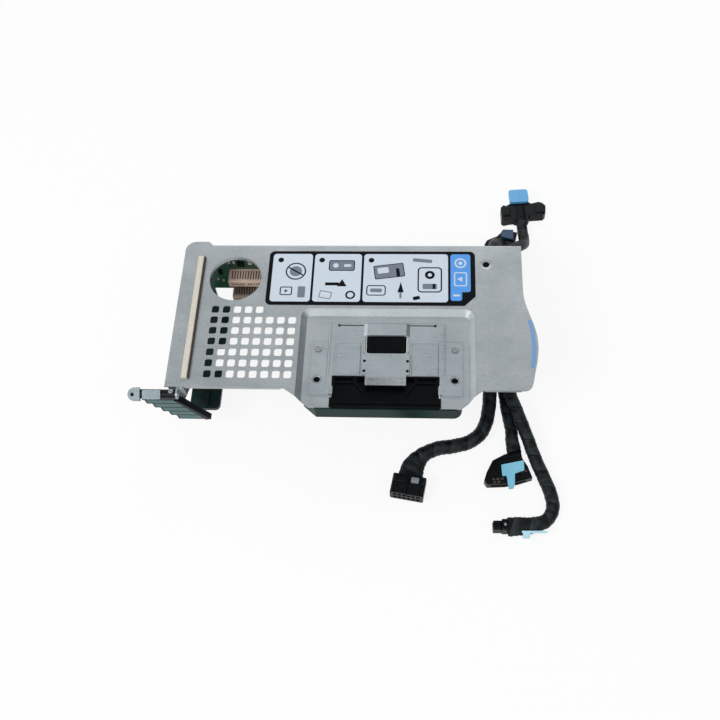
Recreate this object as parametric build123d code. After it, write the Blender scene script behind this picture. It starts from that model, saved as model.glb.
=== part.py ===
"""Cabled riser cage for a rack server: a folded steel cover over a vertical slot board.

Working frame, in millimetres: x runs along the cover from its rear edge, y from the cover's front
edge towards the board, z up from the surface that the cage stands on. The finished solids are moved
so that the origin is at the middle of the base, with the same directions.
"""

import os
from math import pi, radians, tan

from build123d import *

# Cover: one folded and drawn steel sheet
SHEET = 1.0
HEIGHT = 64.0
COVER_LENGTH = 247.5
COVER_DEPTH = 120.5
BULGE = 8.8
BULGE_MIDDLE_Y = 36.0
BULGE_START_Y = 82.0
BULGE_FRONT_Y = 9.0
FRONT_RIGHT_RADIUS = 7.0
REAR_CORNER_RADIUS = 7.0
EAR_LENGTH = 19.5
EAR_RISE = 2.5
BEND_RADIUS = 1.6
FRONT_LIP = 2.4

# Cable-hole dimple near the far right corner of the cover
DATUM_HOLE_RADIUS = 2.45
DATUM_X = COVER_LENGTH - 25.6
DATUM_Y = 103.4
DIMPLE_RADIUS = 4.6
DIMPLE_DEPTH = 0.5

# Round window with a collar drawn downwards
WINDOW_RADIUS = 19.0
WINDOW_X = 40.1
WINDOW_Y = 90.1
COLLAR_DEPTH = 3.2

# Drawn pan in the front edge of the cover, with the tab that carries it forwards
PAN_MIDDLE_X = COVER_LENGTH - 95.8
PAN_HALF_WIDTH = 61.2
PAN_FAR_Y = 64.5
PAN_DEPTH = 4.0
PAN_CORNER = 7.0
TAB_REACH = 12.4
TAB_HALF_WIDTH = 51.6
TAB_REAR_RUN = 17.8
TAB_RIGHT_RUN = 14.1
TAB_RIGHT_CORNER = 2.0
TAB_RIGHT_SWEEP = 8.0

# Ventilation field, between the rear edge and the pan
VENT_ROWS = 7
VENT_PITCH_X = 8.0
VENT_PITCH_Y = 8.8
VENT_WIDTH = 5.5
VENT_LENGTH = 6.1
VENT_CORNER = 1.5
VENT_FIRST_X = 28.3
VENT_FIRST_Y = 10.6
VENT_SPAN = PAN_MIDDLE_X - PAN_HALF_WIDTH - VENT_WIDTH / 2 - VENT_FIRST_X
VENT_COLUMNS = int(VENT_SPAN // VENT_PITCH_X) + 1
VENT_TOP_ROW_COLUMNS = VENT_COLUMNS - 3

# Board wall, the flange folded down along the far edge of the cover
BOARD_WALL_START_X = 21.5
BOARD_WALL_END_X = COVER_LENGTH - 26.5
BOARD_WALL_BOTTOM = 9.0
BOARD_WALL_CORNER = 5.0
WALL_VENT_LENGTH = 14.0
WALL_VENT_HEIGHT = 5.0
WALL_VENT_PITCH = 20.0
WALL_VENT_FIRST_X = 41.0
WALL_VENT_Z = 33.0
WALL_VENT_SPAN = BOARD_WALL_END_X - WALL_VENT_FIRST_X - WALL_VENT_LENGTH
WALL_VENT_COUNT = int(WALL_VENT_SPAN // WALL_VENT_PITCH) + 1

# Riser board and what stands on it
BOARD_THICKNESS = 1.6
BOARD_START_X = 7.5
BOARD_END_X = COVER_LENGTH - 1.5
BOARD_TOP_GAP = 2.0
BOARD_BOTTOM = 8.0
BOARD_LEG_WIDTH = 6.5
BOARD_LEG_BOTTOM = 1.5
BOARD_NOTCH_END_X = 30.0
BOARD_NOTCH_TOP = 18.4
STANDOFF_LENGTH = 5.5
STANDOFF_RADIUS = 3.0
SCREW_RADIUS = 1.5
SCREW_HEAD_RADIUS = 2.9
SCREW_HEAD_HEIGHT = 1.9
SCREW_HEAD_CHAMFER = 0.7
SCREW_SOCKET_RADIUS = 1.4
SCREW_SOCKET_DEPTH = 1.1
FIT_GAP = 0.05
SCREW_ROWS_Z = (HEIGHT - 10.0, 13.0)
SCREW_FIRST_X = 26.0
SCREW_MIDDLE_X = 126.0
SCREW_LAST_X = COVER_LENGTH - 38.0
EDGE_TONGUES = ((58.0, 104.0), (108.0, 152.0), (162.0, 198.0))
TONGUE_CHAMFER = 1.0
SLOT_PITCH = 20.32
UPPER_SLOT_DROP = 24.0
SLOT_START_X = 30.0
SLOT_LENGTH = 89.0
SLOT_BODY_DEPTH = 11.3
SLOT_BODY_HEIGHT = 7.6
SLOT_GROOVE = 1.8
SLOT_GROOVE_DEPTH = 8.6
SLOT_KEY_OFFSET = 12.5
SLOT_KEY_WIDTH = 1.9
SLOT_END_MARGIN = 1.8
SLOT_TAIL_LENGTH = 7.0
SLOT_TAIL_THICKNESS = 2.2

# Parts soldered to the front face of the board: chips as (x, z, half width), cans and chokes
CHIPS = ((140.0, 46.0, 4.5), (156.0, 44.0, 6.0), (170.0, 47.0, 3.5), (178.5, 23.5, 3.4))
CHIP_THICKNESS = 1.2
CAN_COUNT = 4
CAN_FIRST_X = 142.0
CAN_PITCH = 9.0
CAN_Z = 28.0
CAN_RADIUS = 3.2
CAN_HEIGHT = 6.4
CAN_CHAMFER = 0.6
CHOKE_COUNT = 3
CHOKE_FIRST_X = 138.4
CHOKE_PITCH = 9.0
CHOKE_SIZE = 7.2
CHOKE_BOTTOM = 11.0
CHOKE_HEIGHT = 4.2
CHOKE_CHAMFER = 0.9

# Rear bracket with the card windows, and the guide under it
REAR_WALL_X = 1.2
REAR_WALL_FRONT_Y = 2.4
REAR_WALL_KNEE_Z = 23.0
REAR_WALL_FOOT_Y = 34.0
FLANGE_WIDTH = 11.0
FOOT_WIDTH = 8.0
CARD_WINDOW_HEIGHT = 13.2
CARD_WINDOW_DROP = 1.2
CARD_WINDOW_MARGIN = 9.4
CARD_WINDOW_CORNER = 1.5
CARD_WINDOW_NEAR_Y = 11.0
LOWER_WINDOW_NEAR_Y = 36.0
GUIDE_THICKNESS = 3.0
GUIDE_START_X = 3.4
GUIDE_END_X = 26.0
GUIDE_FRONT_Y = 14.6
GUIDE_FAR_GAP = 1.4
GUIDE_NOTCH_X = 17.4
GUIDE_NOTCH_Y = (48.6, 67.8)
GUIDE_CORNER = 4.0
GUIDE_RIB_HEIGHT = 2.2
GUIDE_RIB_WIDTH = 1.6

# End bracket, the inner wall at the cable end
END_WALL_X = COVER_LENGTH - 34.0
END_WALL_TOP_Y = 16.0
END_WALL_FOOT_Y = 44.0
END_OPENING_DROP = 12.0
END_OPENING_BOTTOM = 14.0
END_OPENING_MARGIN = 14.0
END_OPENING_CORNER = 3.0

# Card holder in the pan
HOLDER_SHEET = 0.8
HOLDER_HALF_WIDTH = 40.2
HOLDER_NEAR_Y = 12.0
HOLDER_FAR_Y = 54.6
HOLDER_WINDOW_HALF = 14.8
HOLDER_WINDOW_Y = (29.2, 45.4)
HOLDER_WING_HALF = 53.0
HOLDER_WING_Y = (-3.2, 40.0)
HOLDER_WING_GAP = 0.9
HOLDER_SLIT_Y = 52.5
HOLDER_SLIT_X = (15.2, 33.8)
HOLDER_SLIT_WIDTH = 0.9
HOLDER_SLIT_EYE = 1.1
EMBOSS_X = (17.6, 36.2)
EMBOSS_FAR_Y = 39.0
EMBOSS_RISE = 0.7
EMBOSS_CORNER = 2.4
ARCH_HALF_WIDTH = 16.2
ARCH_Y = (43.4, 53.6)
ARCH_RISE = 1.9
BRIDGE_HALF_WIDTH = 14.0
BRIDGE_Y = (4.4, 28.6)
BRIDGE_RISE = 1.4
BRIDGE_HOLE_X = 14.9
BRIDGE_HOLE_Y = (15.1, 22.9)
BRIDGE_HOLE_RADIUS = 1.0
BRIDGE_STEP = 2.6
BRIDGE_CHAMFER = 0.4
RIVET_X = 47.6
RIVET_Y = 33.1
RIVET_RADIUS = 2.0
RIVET_SHANK_RADIUS = 1.5
RIVET_HEAD_HEIGHT = 0.9
RIVET_HEAD_CHAMFER = 0.5
HOLDER_HOLE_X = 47.3
HOLDER_HOLE_Y = 8.9
HOLDER_HOLE_RADIUS = 2.4
COUNTERSINK = 0.4

# Black moulding, rail and skirt of the card holder
BODY_HALF_WIDTH = 36.6
BODY_DEPTH = 9.0
BODY_DROP = 4.4
BODY_RAIL_HALF = 37.9
BODY_RAIL_Y = (-12.4, -5.0)
BODY_RAIL_DROP = 3.2
BODY_WELL_TOP = 20.0
BODY_WELL_BOTTOM = 9.6
BODY_WELL_DEPTH = 3.0
BODY_ARM_X = (14.4, 36.0)
BODY_ARM_FAR_Y = 56.5
BODY_ARM_THICKNESS = 1.6
SKIRT_DEPTH = 12.0
SKIRT_WALL = 2.0
SKIRT_FRONT_Y = -13.2
SKIRT_HALF_WIDTH = 52.4
SKIRT_REAR_REACH = 4.0
SKIRT_REAR_RUN = 9.0
SKIRT_REAR_RISE = 8.0
SKIRT_CORNER = 6.0
SKIRT_BACK_Y = 14.0

# Sliding thumb pad of the card holder
PAD_HALF_WIDTH = 13.9
PAD_TRAVEL = 4.0
PAD_RIB_COUNT = 3
PAD_RIB_PITCH = 9.0
PAD_RIB_WIDTH = 1.2
PAD_RIB_HEIGHT = 0.5
PAD_DROP = 3.0
PAD_THICKNESS = 4.6
BODY_GAP = 0.35

# Card latch that swings about a pin under the cover's front rear corner
LATCH_AXIS_Y = -3.5
LATCH_AXIS_DROP = 4.6
LATCH_BARREL_RADIUS = 3.3
LATCH_START_X = -16.8
LATCH_END_X = 7.6
LATCH_BACK_Y = -0.7
LATCH_FRONT_Y = -5.6
LATCH_NECK_BOTTOM = 9.5
LATCH_LOUVRES = 5
LATCH_LOUVRE_PITCH = 5.7
LATCH_SKEW_LEFT = 22.5
LATCH_SKEW_RIGHT = 17.0
LATCH_LOUVRE_DEPTH = 1.3
LATCH_RAIL_WIDTH = 2.0
LATCH_RAIL_RISE = 0.6
LATCH_STEP = 2.0
LATCH_PIN_RADIUS = 1.2
LATCH_PIN_HEAD = (2.0, 0.6)
LATCH_PIN_GAP = 0.06
LATCH_EAR_THICKNESS = 1.2
EAR_TAB_WIDTH = 5.6
EAR_TAB_DROP = 9.0
EAR_TAB_Y = (-1.4, -0.4)
END_PLATE_TIP_X = -25.2
END_PLATE_RADIUS = 4.7
END_PLATE_LIFT = 1.0
END_PLATE_THICKNESS = 2.4
END_PLATE_HOLE_X = -22.0
END_PLATE_HOLE_RADIUS = 1.3
CLIP_X = (-14.8, -2.2)
CLIP_THICKNESS = 0.6
CLIP_WIDTH = 6.4
CLIP_TILT = 35.0
CLIP_SEAT = 3.6
CLIP_CORNER = 1.0
CLIP_RIDGE_PITCH = 1.7
CLIP_RIDGE_WIDTH = 0.8
CLIP_RIDGE_HEIGHT = 0.5

# Foam, label and touch mark on the cover's top face
FOAM_X = (11.0, 15.2)
FOAM_Y = (6.3, 108.6)
FOAM_HEIGHT = 2.6
LABEL_X = (63.7, COVER_LENGTH - 33.5)
LABEL_Y = (67.4, 114.4)
LABEL_CORNER = 4.0
LABEL_CHAMFER = 8.0
LABEL_THICKNESS = 0.25
MARK_WIDTH = 2.6
MARK_EDGE_GAP = 1.8
MARK_Y = (17.6, 56.0)
MARK_THICKNESS = 0.2

# Cables: diameters, headers on the board and the levels at which they stand
POWER_DIAMETER = 12.0
FRONT_DIAMETER = 8.4
SIDE_DIAMETER = 9.2
REAR_DIAMETER = 8.6
BEND_SHARE = 0.45
POWER_HEADER_HALF = 11.0
POWER_HEADER_RISE = 6.0
POWER_HEADER_REACH = 14.0
POWER_HEADER_LATCH = 1.4
HEADER_HALF = 7.4
HEADER_RISE = 4.9
HEADER_REACH = 10.4
HEADER_CORNER = 1.2
POWER_LEVEL = 0.75 * HEIGHT
SIDE_LEVEL = 0.485 * HEIGHT
FRONT_LEVEL = 0.235 * HEIGHT
REAR_LONG_LEVEL = 0.5 * HEIGHT
REAR_SHORT_LEVEL = 0.69 * HEIGHT

# Plugs and pull tabs, each in its own frame: x on along the cable from the plug's back, y to its left
POWER_PLUG_LENGTH = 14.6
POWER_PLUG_HALF = 11.8
POWER_PLUG_HEIGHT = 11.0
POWER_PLUG_CHAMFER = 1.0
POWER_CELLS = 6
POWER_CELL_LEVELS = (3.1, 7.8)
POWER_CELL_HALF = (1.2, 1.4)
POWER_CELL_DEPTH = 6.0
POWER_RIB_PITCH = 5.6
POWER_RIB_HEIGHT = 0.5
POWER_LEVER = ((1.6, 5.6), (1.5, 7.0), 1.2)
FRONT_PLUG_HEIGHT = 6.5
FRONT_PLUG_OUTLINE = (
    (0, -4.8),
    (0.6, -7.6),
    (3.8, -16.3),
    (12.2, -22.3),
    (18.2, -25.2),
    (21.5, -23.7),
    (22.9, -11.5),
    (22.6, -2.0),
    (20.9, 8.6),
    (12.1, 7.2),
    (5.1, 4.6),
    (0, 4.8),
)
FRONT_PLUG_MOUTH = ((17.6, 24.0), (-21.0, 4.0), (1.6, 4.6))
FRONT_PLUG_CHAMFER = 0.7
FRONT_TAB_OUTLINE = (
    (8.8, -11.3),
    (7.8, 5.0),
    (15.3, 3.8),
    (16.6, -3.1),
    (25.6, -5.1),
    (26.4, -9.6),
    (17.6, -9.2),
    (17.1, -12.1),
)
FRONT_TAB_TIP = ((24.6, 26.1), (-9.2, -5.6), (3.0, 7.0))
TAB_THICKNESS = 1.2
SIDE_PLUG_SIZE = (10.2, 4.4, 12.0)
SIDE_PLUG_CORNER = 0.8
SIDE_PLUG_MOUTH = ((6.0, 11.0), (-1.4, 1.4), (2.4, 10.0))
SIDE_TAB_STRIP = ((-26.8, -9.3), (4.9, 5.8), (6.4, 10.2))
SIDE_TAB_LEG = ((-15.1, -9.8), (4.9, 7.4), (0, 8.0))
SIDE_TAB_FOOT = ((-10.0, 3.0), (4.4, 6.2), (0, 0.8))
REAR_PLUG_HEIGHT = 8.4
REAR_PLUG_OUTLINE = (
    (0, -5.6),
    (3.5, -7.4),
    (3.7, -18.0),
    (5.6, -20.0),
    (12.8, -20.9),
    (16.0, -18.6),
    (17.3, -15.5),
    (15.8, -9.5),
    (19.6, -5.0),
    (19.1, 4.0),
    (14.7, 11.0),
    (15.6, 13.4),
    (13.1, 15.7),
    (1.8, 16.0),
    (0, 14.1),
    (0.9, 10.0),
    (1.1, 5.9),
    (0, 5.6),
)
REAR_CAP = ((15.8, 28.6), (-7.4, 8.2))
REAR_CAP_CORNER = 2.4
REAR_CAP_HEIGHT = 2.4
REAR_CAP_SKIRT = ((19.7, 27.6), (-6.4, 7.2), 3.0)
SHORT_PLUG_HEIGHT = 8.8
SHORT_PLUG_OUTLINE = (
    (0, -11.0),
    (10.4, -11.0),
    (10.4, 0.8),
    (6.8, 1.8),
    (2.5, 4.2),
    (0.4, 7.0),
    (-3.2, 10.9),
    (-7.4, 11.8),
    (-8.0, 9.6),
    (-3.0, 5.2),
    (0, 4.8),
)
SHORT_TAB_OUTLINE = (
    (1.6, -9.4),
    (10.6, -7.5),
    (9.0, 0.2),
    (3.5, 0.9),
    (1.6, -0.2),
)
SHORT_TAB_THICKNESS = 1.6

# Values that follow from the ones above
COVER_UNDERSIDE = HEIGHT - SHEET
BOARD_BACK_Y = COVER_DEPTH - SHEET - STANDOFF_LENGTH
BOARD_FRONT_Y = BOARD_BACK_Y - BOARD_THICKNESS
BOARD_TOP = COVER_UNDERSIDE - BOARD_TOP_GAP
PAN_FLOOR = HEIGHT - PAN_DEPTH
PAN_UNDERSIDE = PAN_FLOOR - SHEET
LATCH_AXIS_Z = HEIGHT - LATCH_AXIS_DROP
SLOT_LEVELS = (HEIGHT - UPPER_SLOT_DROP, HEIGHT - UPPER_SLOT_DROP - SLOT_PITCH)
MODEL_ORIGIN = (
    (END_PLATE_TIP_X + COVER_LENGTH + BULGE) / 2,
    (SKIRT_FRONT_Y + BOARD_BACK_Y + HEADER_REACH) / 2,
)

# Cable routes as (x, y, z) points, each from its header's face to the back of its plug: x is measured
# from the cover's cable end, and y of the rear routes from their headers' face
POWER_ROUTE = (
    (-18.5, BOARD_FRONT_Y - POWER_HEADER_REACH, POWER_LEVEL),
    (-18.5, 84.5, POWER_LEVEL),
    (-19.0, 69.5, POWER_LEVEL - 9.0),
    (-19.9, 54.5, 23.4),
    (-20.6, 41.4, 10.6),
    (-21.2, 27.6, 6.4),
    (-22.3, 11.5, 6.0),
    (-26.6, -2.6, 6.0),
    (-35.6, -11.2, 6.0),
    (-47.9, -15.0, 6.0),
    (-61.1, -16.6, 6.0),
    (-71.3, -22.4, 6.0),
    (-77.1, -31.0, 6.0),
    (-78.6, -39.8, 6.0),
)
FRONT_ROUTE = (
    (-15.5, BOARD_FRONT_Y - HEADER_REACH, FRONT_LEVEL),
    (-15.5, 89.0, FRONT_LEVEL),
    (-14.5, 75.0, 10.4),
    (-12.9, 60.0, 5.0),
    (-11.3, 45.0, 4.3),
    (-10.5, 30.0, 4.2),
    (-8.9, 14.3, 4.2),
    (-6.1, 0.8, 4.2),
    (-6.2, -11.0, 4.3),
    (-4.9, -18.6, 4.3),
)
SIDE_ROUTE = (
    (-10.5, BOARD_FRONT_Y - HEADER_REACH, SIDE_LEVEL),
    (-10.5, 88.0, SIDE_LEVEL),
    (-9.9, 73.0, 27.0),
    (-9.3, 57.0, 19.8),
    (-9.0, 41.0, 15.4),
    (-8.1, 25.8, 13.6),
    (-2.5, 12.0, 12.4),
    (2.7, -3.4, 9.8),
    (9.1, -22.0, 5.6),
    (16.3, -40.0, 4.6),
    (20.4, -53.5, 4.6),
    (19.9, -63.5, 4.6),
    (14.3, -70.4, 4.6),
    (5.9, -72.8, 4.6),
    (-2.9, -73.6, 4.6),
    (-11.3, -73.8, 4.6),
)
REAR_LONG_ROUTE = (
    (-9.5, 0, REAR_LONG_LEVEL),
    (-9.5, 9.0, REAR_LONG_LEVEL),
    (-1.1, 19.2, REAR_LONG_LEVEL - 2.6),
    (6.3, 28.8, 20.0),
    (9.3, 39.6, 8.4),
    (8.9, 51.6, 4.6),
    (8.1, 63.6, 4.6),
)
REAR_SHORT_ROUTE = (
    (-18.1, 0, REAR_SHORT_LEVEL),
    (-18.1, 8.2, REAR_SHORT_LEVEL),
    (-16.7, 16.6, REAR_SHORT_LEVEL - 5.8),
    (-14.7, 23.6, 27.8),
    (-12.7, 30.0, 16.6),
    (-10.7, 36.2, 8.0),
    (-9.1, 42.6, 4.8),
)


def from_cable_end(route, face_y=0.0):
    """A route's points in the working frame, from its own x and y zero."""
    return [(COVER_LENGTH + x, face_y + y, z) for x, y, z in route]


def block(x, y, z):
    """A box between two values on each axis."""
    size = (x[1] - x[0], y[1] - y[0], z[1] - z[0])
    centre = ((x[0] + x[1]) / 2, (y[0] + y[1]) / 2, (z[0] + z[1]) / 2)
    return Pos(*centre) * Box(*size)


def plate(face, z_low, z_high):
    """A flat outline in x and y, as a plate between two heights."""
    return Pos(0, 0, z_low) * extrude(face, z_high - z_low, dir=(0, 0, 1))


def polygon(points):
    """A face in x and y through the given corners."""
    return make_face(Polyline(*points, close=True))


def round_bar(start, end, radius):
    """A straight round bar from one point to another."""
    axis = Vector(*end) - Vector(*start)
    return extrude(Plane(origin=start, z_dir=axis) * Circle(radius), axis.length)


def upright(x, y, radius, z_low, z_high):
    """A vertical round bar."""
    return round_bar((x, y, z_low), (x, y, z_high), radius)


def across(x, z, radius, y_near, y_far):
    """A round bar along y."""
    return round_bar((x, y_near, z), (x, y_far, z), radius)


def side_plate(points, x_low, x_high):
    """A plate square to x, from an outline given as (y, z) corners."""
    outline = Plane.YZ * polygon(points)
    return Pos(x_low, 0, 0) * extrude(outline, x_high - x_low, dir=(1, 0, 0))


def front_plate(points, y_low, y_high):
    """A plate square to y, from an outline given as (x, z) corners."""
    outline = Plane.XZ * polygon(points)
    return Pos(0, y_low, 0) * extrude(outline, y_high - y_low, dir=(0, 1, 0))


def edges_along(solid, axis, test):
    """The straight edges of a solid that run along an axis and pass a test on their middle point."""
    return [edge for edge in solid.edges().filter_by(axis) if test(edge.center())]


def cover_outline():
    """The cover's plan outline, with the forward tab and the bulged right edge."""
    bulge_x = COVER_LENGTH + BULGE
    corner_x = bulge_x - 4.0
    tab_left = PAN_MIDDLE_X - TAB_HALF_WIDTH
    tab_right = PAN_MIDDLE_X + TAB_HALF_WIDTH
    front = Polyline(
        (0, COVER_DEPTH - REAR_CORNER_RADIUS),
        (0, 0),
        (tab_left - TAB_REAR_RUN, 0),
        (tab_left, -TAB_REACH),
        (tab_right, -TAB_REACH),
    )
    flare = Polyline(
        (tab_right, -TAB_REACH),
        (tab_right + TAB_RIGHT_RUN, 0),
        (corner_x - FRONT_RIGHT_RADIUS, 0),
    )
    corner = Spline(
        (corner_x - FRONT_RIGHT_RADIUS, 0),
        (corner_x, BULGE_FRONT_Y),
        tangents=[(1, 0), (0.18, 1)],
    )
    swell = Spline(
        (corner_x, BULGE_FRONT_Y),
        (bulge_x, BULGE_MIDDLE_Y),
        tangents=[(0.18, 1), (0, 1)],
    )
    shoulder = Spline(
        (bulge_x, BULGE_MIDDLE_Y),
        (COVER_LENGTH, BULGE_START_Y),
        tangents=[(0, 1), (0, 1)],
    )
    back = Polyline(
        (COVER_LENGTH, BULGE_START_Y),
        (COVER_LENGTH, COVER_DEPTH),
        (EAR_LENGTH, COVER_DEPTH),
        (EAR_LENGTH - EAR_RISE, COVER_DEPTH + EAR_RISE),
        (REAR_CORNER_RADIUS, COVER_DEPTH + EAR_RISE),
    )
    rear_corner = ThreePointArc(
        (REAR_CORNER_RADIUS, COVER_DEPTH + EAR_RISE),
        (REAR_CORNER_RADIUS * 0.27, COVER_DEPTH - REAR_CORNER_RADIUS * 0.03),
        (0, COVER_DEPTH - REAR_CORNER_RADIUS),
    )
    face = make_face(front + flare + corner + swell + shoulder + back + rear_corner)
    tab_corner = face.vertices().sort_by_distance((tab_right, -TAB_REACH, 0))[0]
    face = fillet(tab_corner, TAB_RIGHT_CORNER)
    sweep_corner = face.vertices().sort_by_distance((tab_right + TAB_RIGHT_RUN, 0, 0))[0]
    return fillet(sweep_corner, TAB_RIGHT_SWEEP)


def pan_outline(grow):
    """The pan's rim in plan, grown all round; its front end runs out past the tab."""
    near_y = -3 * TAB_REACH
    far_y = PAN_FAR_Y + grow
    half = PAN_HALF_WIDTH + grow
    middle = Pos(PAN_MIDDLE_X, (near_y + far_y) / 2)
    return middle * RectangleRounded(2 * half, far_y - near_y, PAN_CORNER + grow)


def drawn_pan(grow, depth):
    """The tapered block whose side is the pan's drawn wall, from the cover's top face down."""
    return extrude(Pos(0, 0, HEIGHT) * pan_outline(grow), depth, dir=(0, 0, -1), taper=45)


def vent_points():
    """Centres of the ventilation holes; the top row stops short of the pan's corner."""
    points = []
    for row in range(VENT_ROWS):
        columns = VENT_TOP_ROW_COLUMNS if row == VENT_ROWS - 1 else VENT_COLUMNS
        for column in range(columns):
            points.append((VENT_FIRST_X + column * VENT_PITCH_X, VENT_FIRST_Y + row * VENT_PITCH_Y))
    return points


def ear_end():
    """Where the latch's ear and its tab end along x."""
    return LATCH_END_X + BODY_GAP + EAR_TAB_WIDTH


def board_screw_points():
    """Board screws as (x, z): three along the top, two along the bottom."""
    upper, lower = SCREW_ROWS_Z
    top_row = [(x, upper) for x in (SCREW_FIRST_X, SCREW_MIDDLE_X, SCREW_LAST_X)]
    return top_row + [(SCREW_MIDDLE_X, lower), (SCREW_LAST_X, lower)]


def make_top_cover():
    """The folded cover: top plate, drawn pan, window collar, front lips and board wall."""
    outline = cover_outline()
    full_block = plate(outline, 0, HEIGHT)
    cover = plate(outline, COVER_UNDERSIDE, HEIGHT)
    cover += drawn_pan(SHEET * 0.42, PAN_DEPTH + SHEET) & full_block
    cover -= drawn_pan(0, PAN_DEPTH)
    collar_bottom = HEIGHT - COLLAR_DEPTH
    cover += upright(WINDOW_X, WINDOW_Y, WINDOW_RADIUS + SHEET, collar_bottom, HEIGHT)
    lip_left = (ear_end() + BODY_GAP, PAN_MIDDLE_X - TAB_HALF_WIDTH - TAB_REAR_RUN - 2.0)
    lip_right = (PAN_MIDDLE_X + TAB_HALF_WIDTH + TAB_RIGHT_RUN + 2.0, COVER_LENGTH - 4.0)
    for lip in (lip_left, lip_right):
        cover += block(lip, (0, SHEET), (HEIGHT - FRONT_LIP, HEIGHT))
    cover += make_board_wall()
    far_edge = edges_along(cover, Axis.X, lambda p: p.Y > COVER_DEPTH - 0.01 and p.Z > HEIGHT - 0.01)
    cover = fillet([edge for edge in far_edge if edge.length > EAR_LENGTH * 2], BEND_RADIUS)
    cover -= upright(WINDOW_X, WINDOW_Y, WINDOW_RADIUS, 0, HEIGHT + 1)
    dimple = Cone(DATUM_HOLE_RADIUS, DIMPLE_RADIUS, DIMPLE_DEPTH)
    cover -= Pos(DATUM_X, DATUM_Y, HEIGHT - DIMPLE_DEPTH / 2) * dimple
    cover -= upright(DATUM_X, DATUM_Y, DATUM_HOLE_RADIUS, 0, HEIGHT + 1)
    vent = RectangleRounded(VENT_WIDTH, VENT_LENGTH, VENT_CORNER)
    vents = Sketch() + [Pos(*point) * vent for point in vent_points()]
    cover -= plate(vents, COVER_UNDERSIDE - 1, HEIGHT + 1)
    return cover - pan_cutouts()


def pan_cutouts():
    """What is punched out of the pan's floor: the body's notch, the pad's window and the screw holes."""
    notch_half = BODY_HALF_WIDTH + BODY_GAP
    notch = block(
        (PAN_MIDDLE_X - notch_half, PAN_MIDDLE_X + notch_half),
        (-TAB_REACH - 1, HOLDER_NEAR_Y + BODY_GAP),
        (PAN_UNDERSIDE - 1, PAN_FLOOR + 1),
    )
    window_half = PAD_HALF_WIDTH + 2 * BODY_GAP
    window = block(
        (PAN_MIDDLE_X - window_half, PAN_MIDDLE_X + window_half),
        (HOLDER_WINDOW_Y[0] - 1, ARCH_Y[1] - 1),
        (PAN_UNDERSIDE - 1, PAN_FLOOR + 1),
    )
    holes = notch + window
    for side in (-1, 1):
        x = PAN_MIDDLE_X + side * HOLDER_HOLE_X
        holes += upright(x, HOLDER_HOLE_Y, HOLDER_HOLE_RADIUS, PAN_UNDERSIDE - 1, PAN_FLOOR + 1)
        x = PAN_MIDDLE_X + side * RIVET_X
        holes += upright(x, RIVET_Y, RIVET_SHANK_RADIUS + FIT_GAP, PAN_UNDERSIDE - 1, PAN_FLOOR + 1)
        holes += holder_slit(side, PAN_UNDERSIDE, PAN_FLOOR)
        x = PAN_MIDDLE_X + side * BRIDGE_HOLE_X
        for y in BRIDGE_HOLE_Y:
            holes += upright(x, y, BRIDGE_HOLE_RADIUS, PAN_UNDERSIDE - 1, PAN_FLOOR + 1)
    return holes


def make_board_wall():
    """The flange along the far edge, with its vents and the holes of the standoffs."""
    wall = block(
        (BOARD_WALL_START_X, BOARD_WALL_END_X),
        (COVER_DEPTH - SHEET, COVER_DEPTH),
        (BOARD_WALL_BOTTOM, HEIGHT),
    )
    lower_corners = edges_along(wall, Axis.Y, lambda p: p.Z < BOARD_WALL_BOTTOM + 0.01)
    wall = fillet(lower_corners, BOARD_WALL_CORNER)
    for index in range(WALL_VENT_COUNT):
        x = WALL_VENT_FIRST_X + index * WALL_VENT_PITCH
        slot = Plane.XZ * SlotOverall(WALL_VENT_LENGTH, WALL_VENT_HEIGHT)
        cutter = extrude(slot, 2 * SHEET, both=True)
        wall -= Pos(x, COVER_DEPTH, WALL_VENT_Z) * cutter
    for x, z in board_screw_points():
        wall -= across(x, z, SCREW_RADIUS + FIT_GAP, COVER_DEPTH - 2 * SHEET, COVER_DEPTH + 1)
    return wall


def make_foam_strip():
    """Foam gasket laid along the rear edge of the cover."""
    strip = block(FOAM_X, FOAM_Y, (HEIGHT, HEIGHT + FOAM_HEIGHT))
    return fillet(strip.edges().group_by(Axis.Z)[-1], 0.6)


def make_instruction_label():
    """Printed film label between the window and the far right corner."""
    x_low, x_high = LABEL_X
    y_low, y_high = LABEL_Y
    face = polygon(
        (
            (x_low, y_low),
            (x_high - LABEL_CHAMFER, y_low),
            (x_high, y_low + LABEL_CHAMFER),
            (x_high, y_high),
            (x_low, y_high),
        )
    )
    corners = [v for v in face.vertices() if v.X < x_low + 0.01 or v.Y > y_high - 0.01]
    face = fillet(corners, LABEL_CORNER)
    return plate(face, HEIGHT, HEIGHT + LABEL_THICKNESS)


def make_touch_mark():
    """Thin blue strip that follows the bulged edge of the cover."""
    outer_x = COVER_LENGTH + BULGE - MARK_EDGE_GAP
    near_y, far_y = MARK_Y
    start = (outer_x - 1.6, near_y)
    middle = (outer_x, BULGE_MIDDLE_Y)
    end = (outer_x - 2.0, far_y)
    outer = ThreePointArc(start, middle, end)
    inner_start = (start[0] - MARK_WIDTH, near_y)
    inner_middle = (middle[0] - MARK_WIDTH, BULGE_MIDDLE_Y)
    inner_end = (end[0] - MARK_WIDTH, far_y)
    inner = ThreePointArc(inner_start, inner_middle, inner_end)
    face = make_face(outer + Line(end, inner_end) + inner + Line(inner_start, start))
    return plate(face, HEIGHT, HEIGHT + MARK_THICKNESS)


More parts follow.
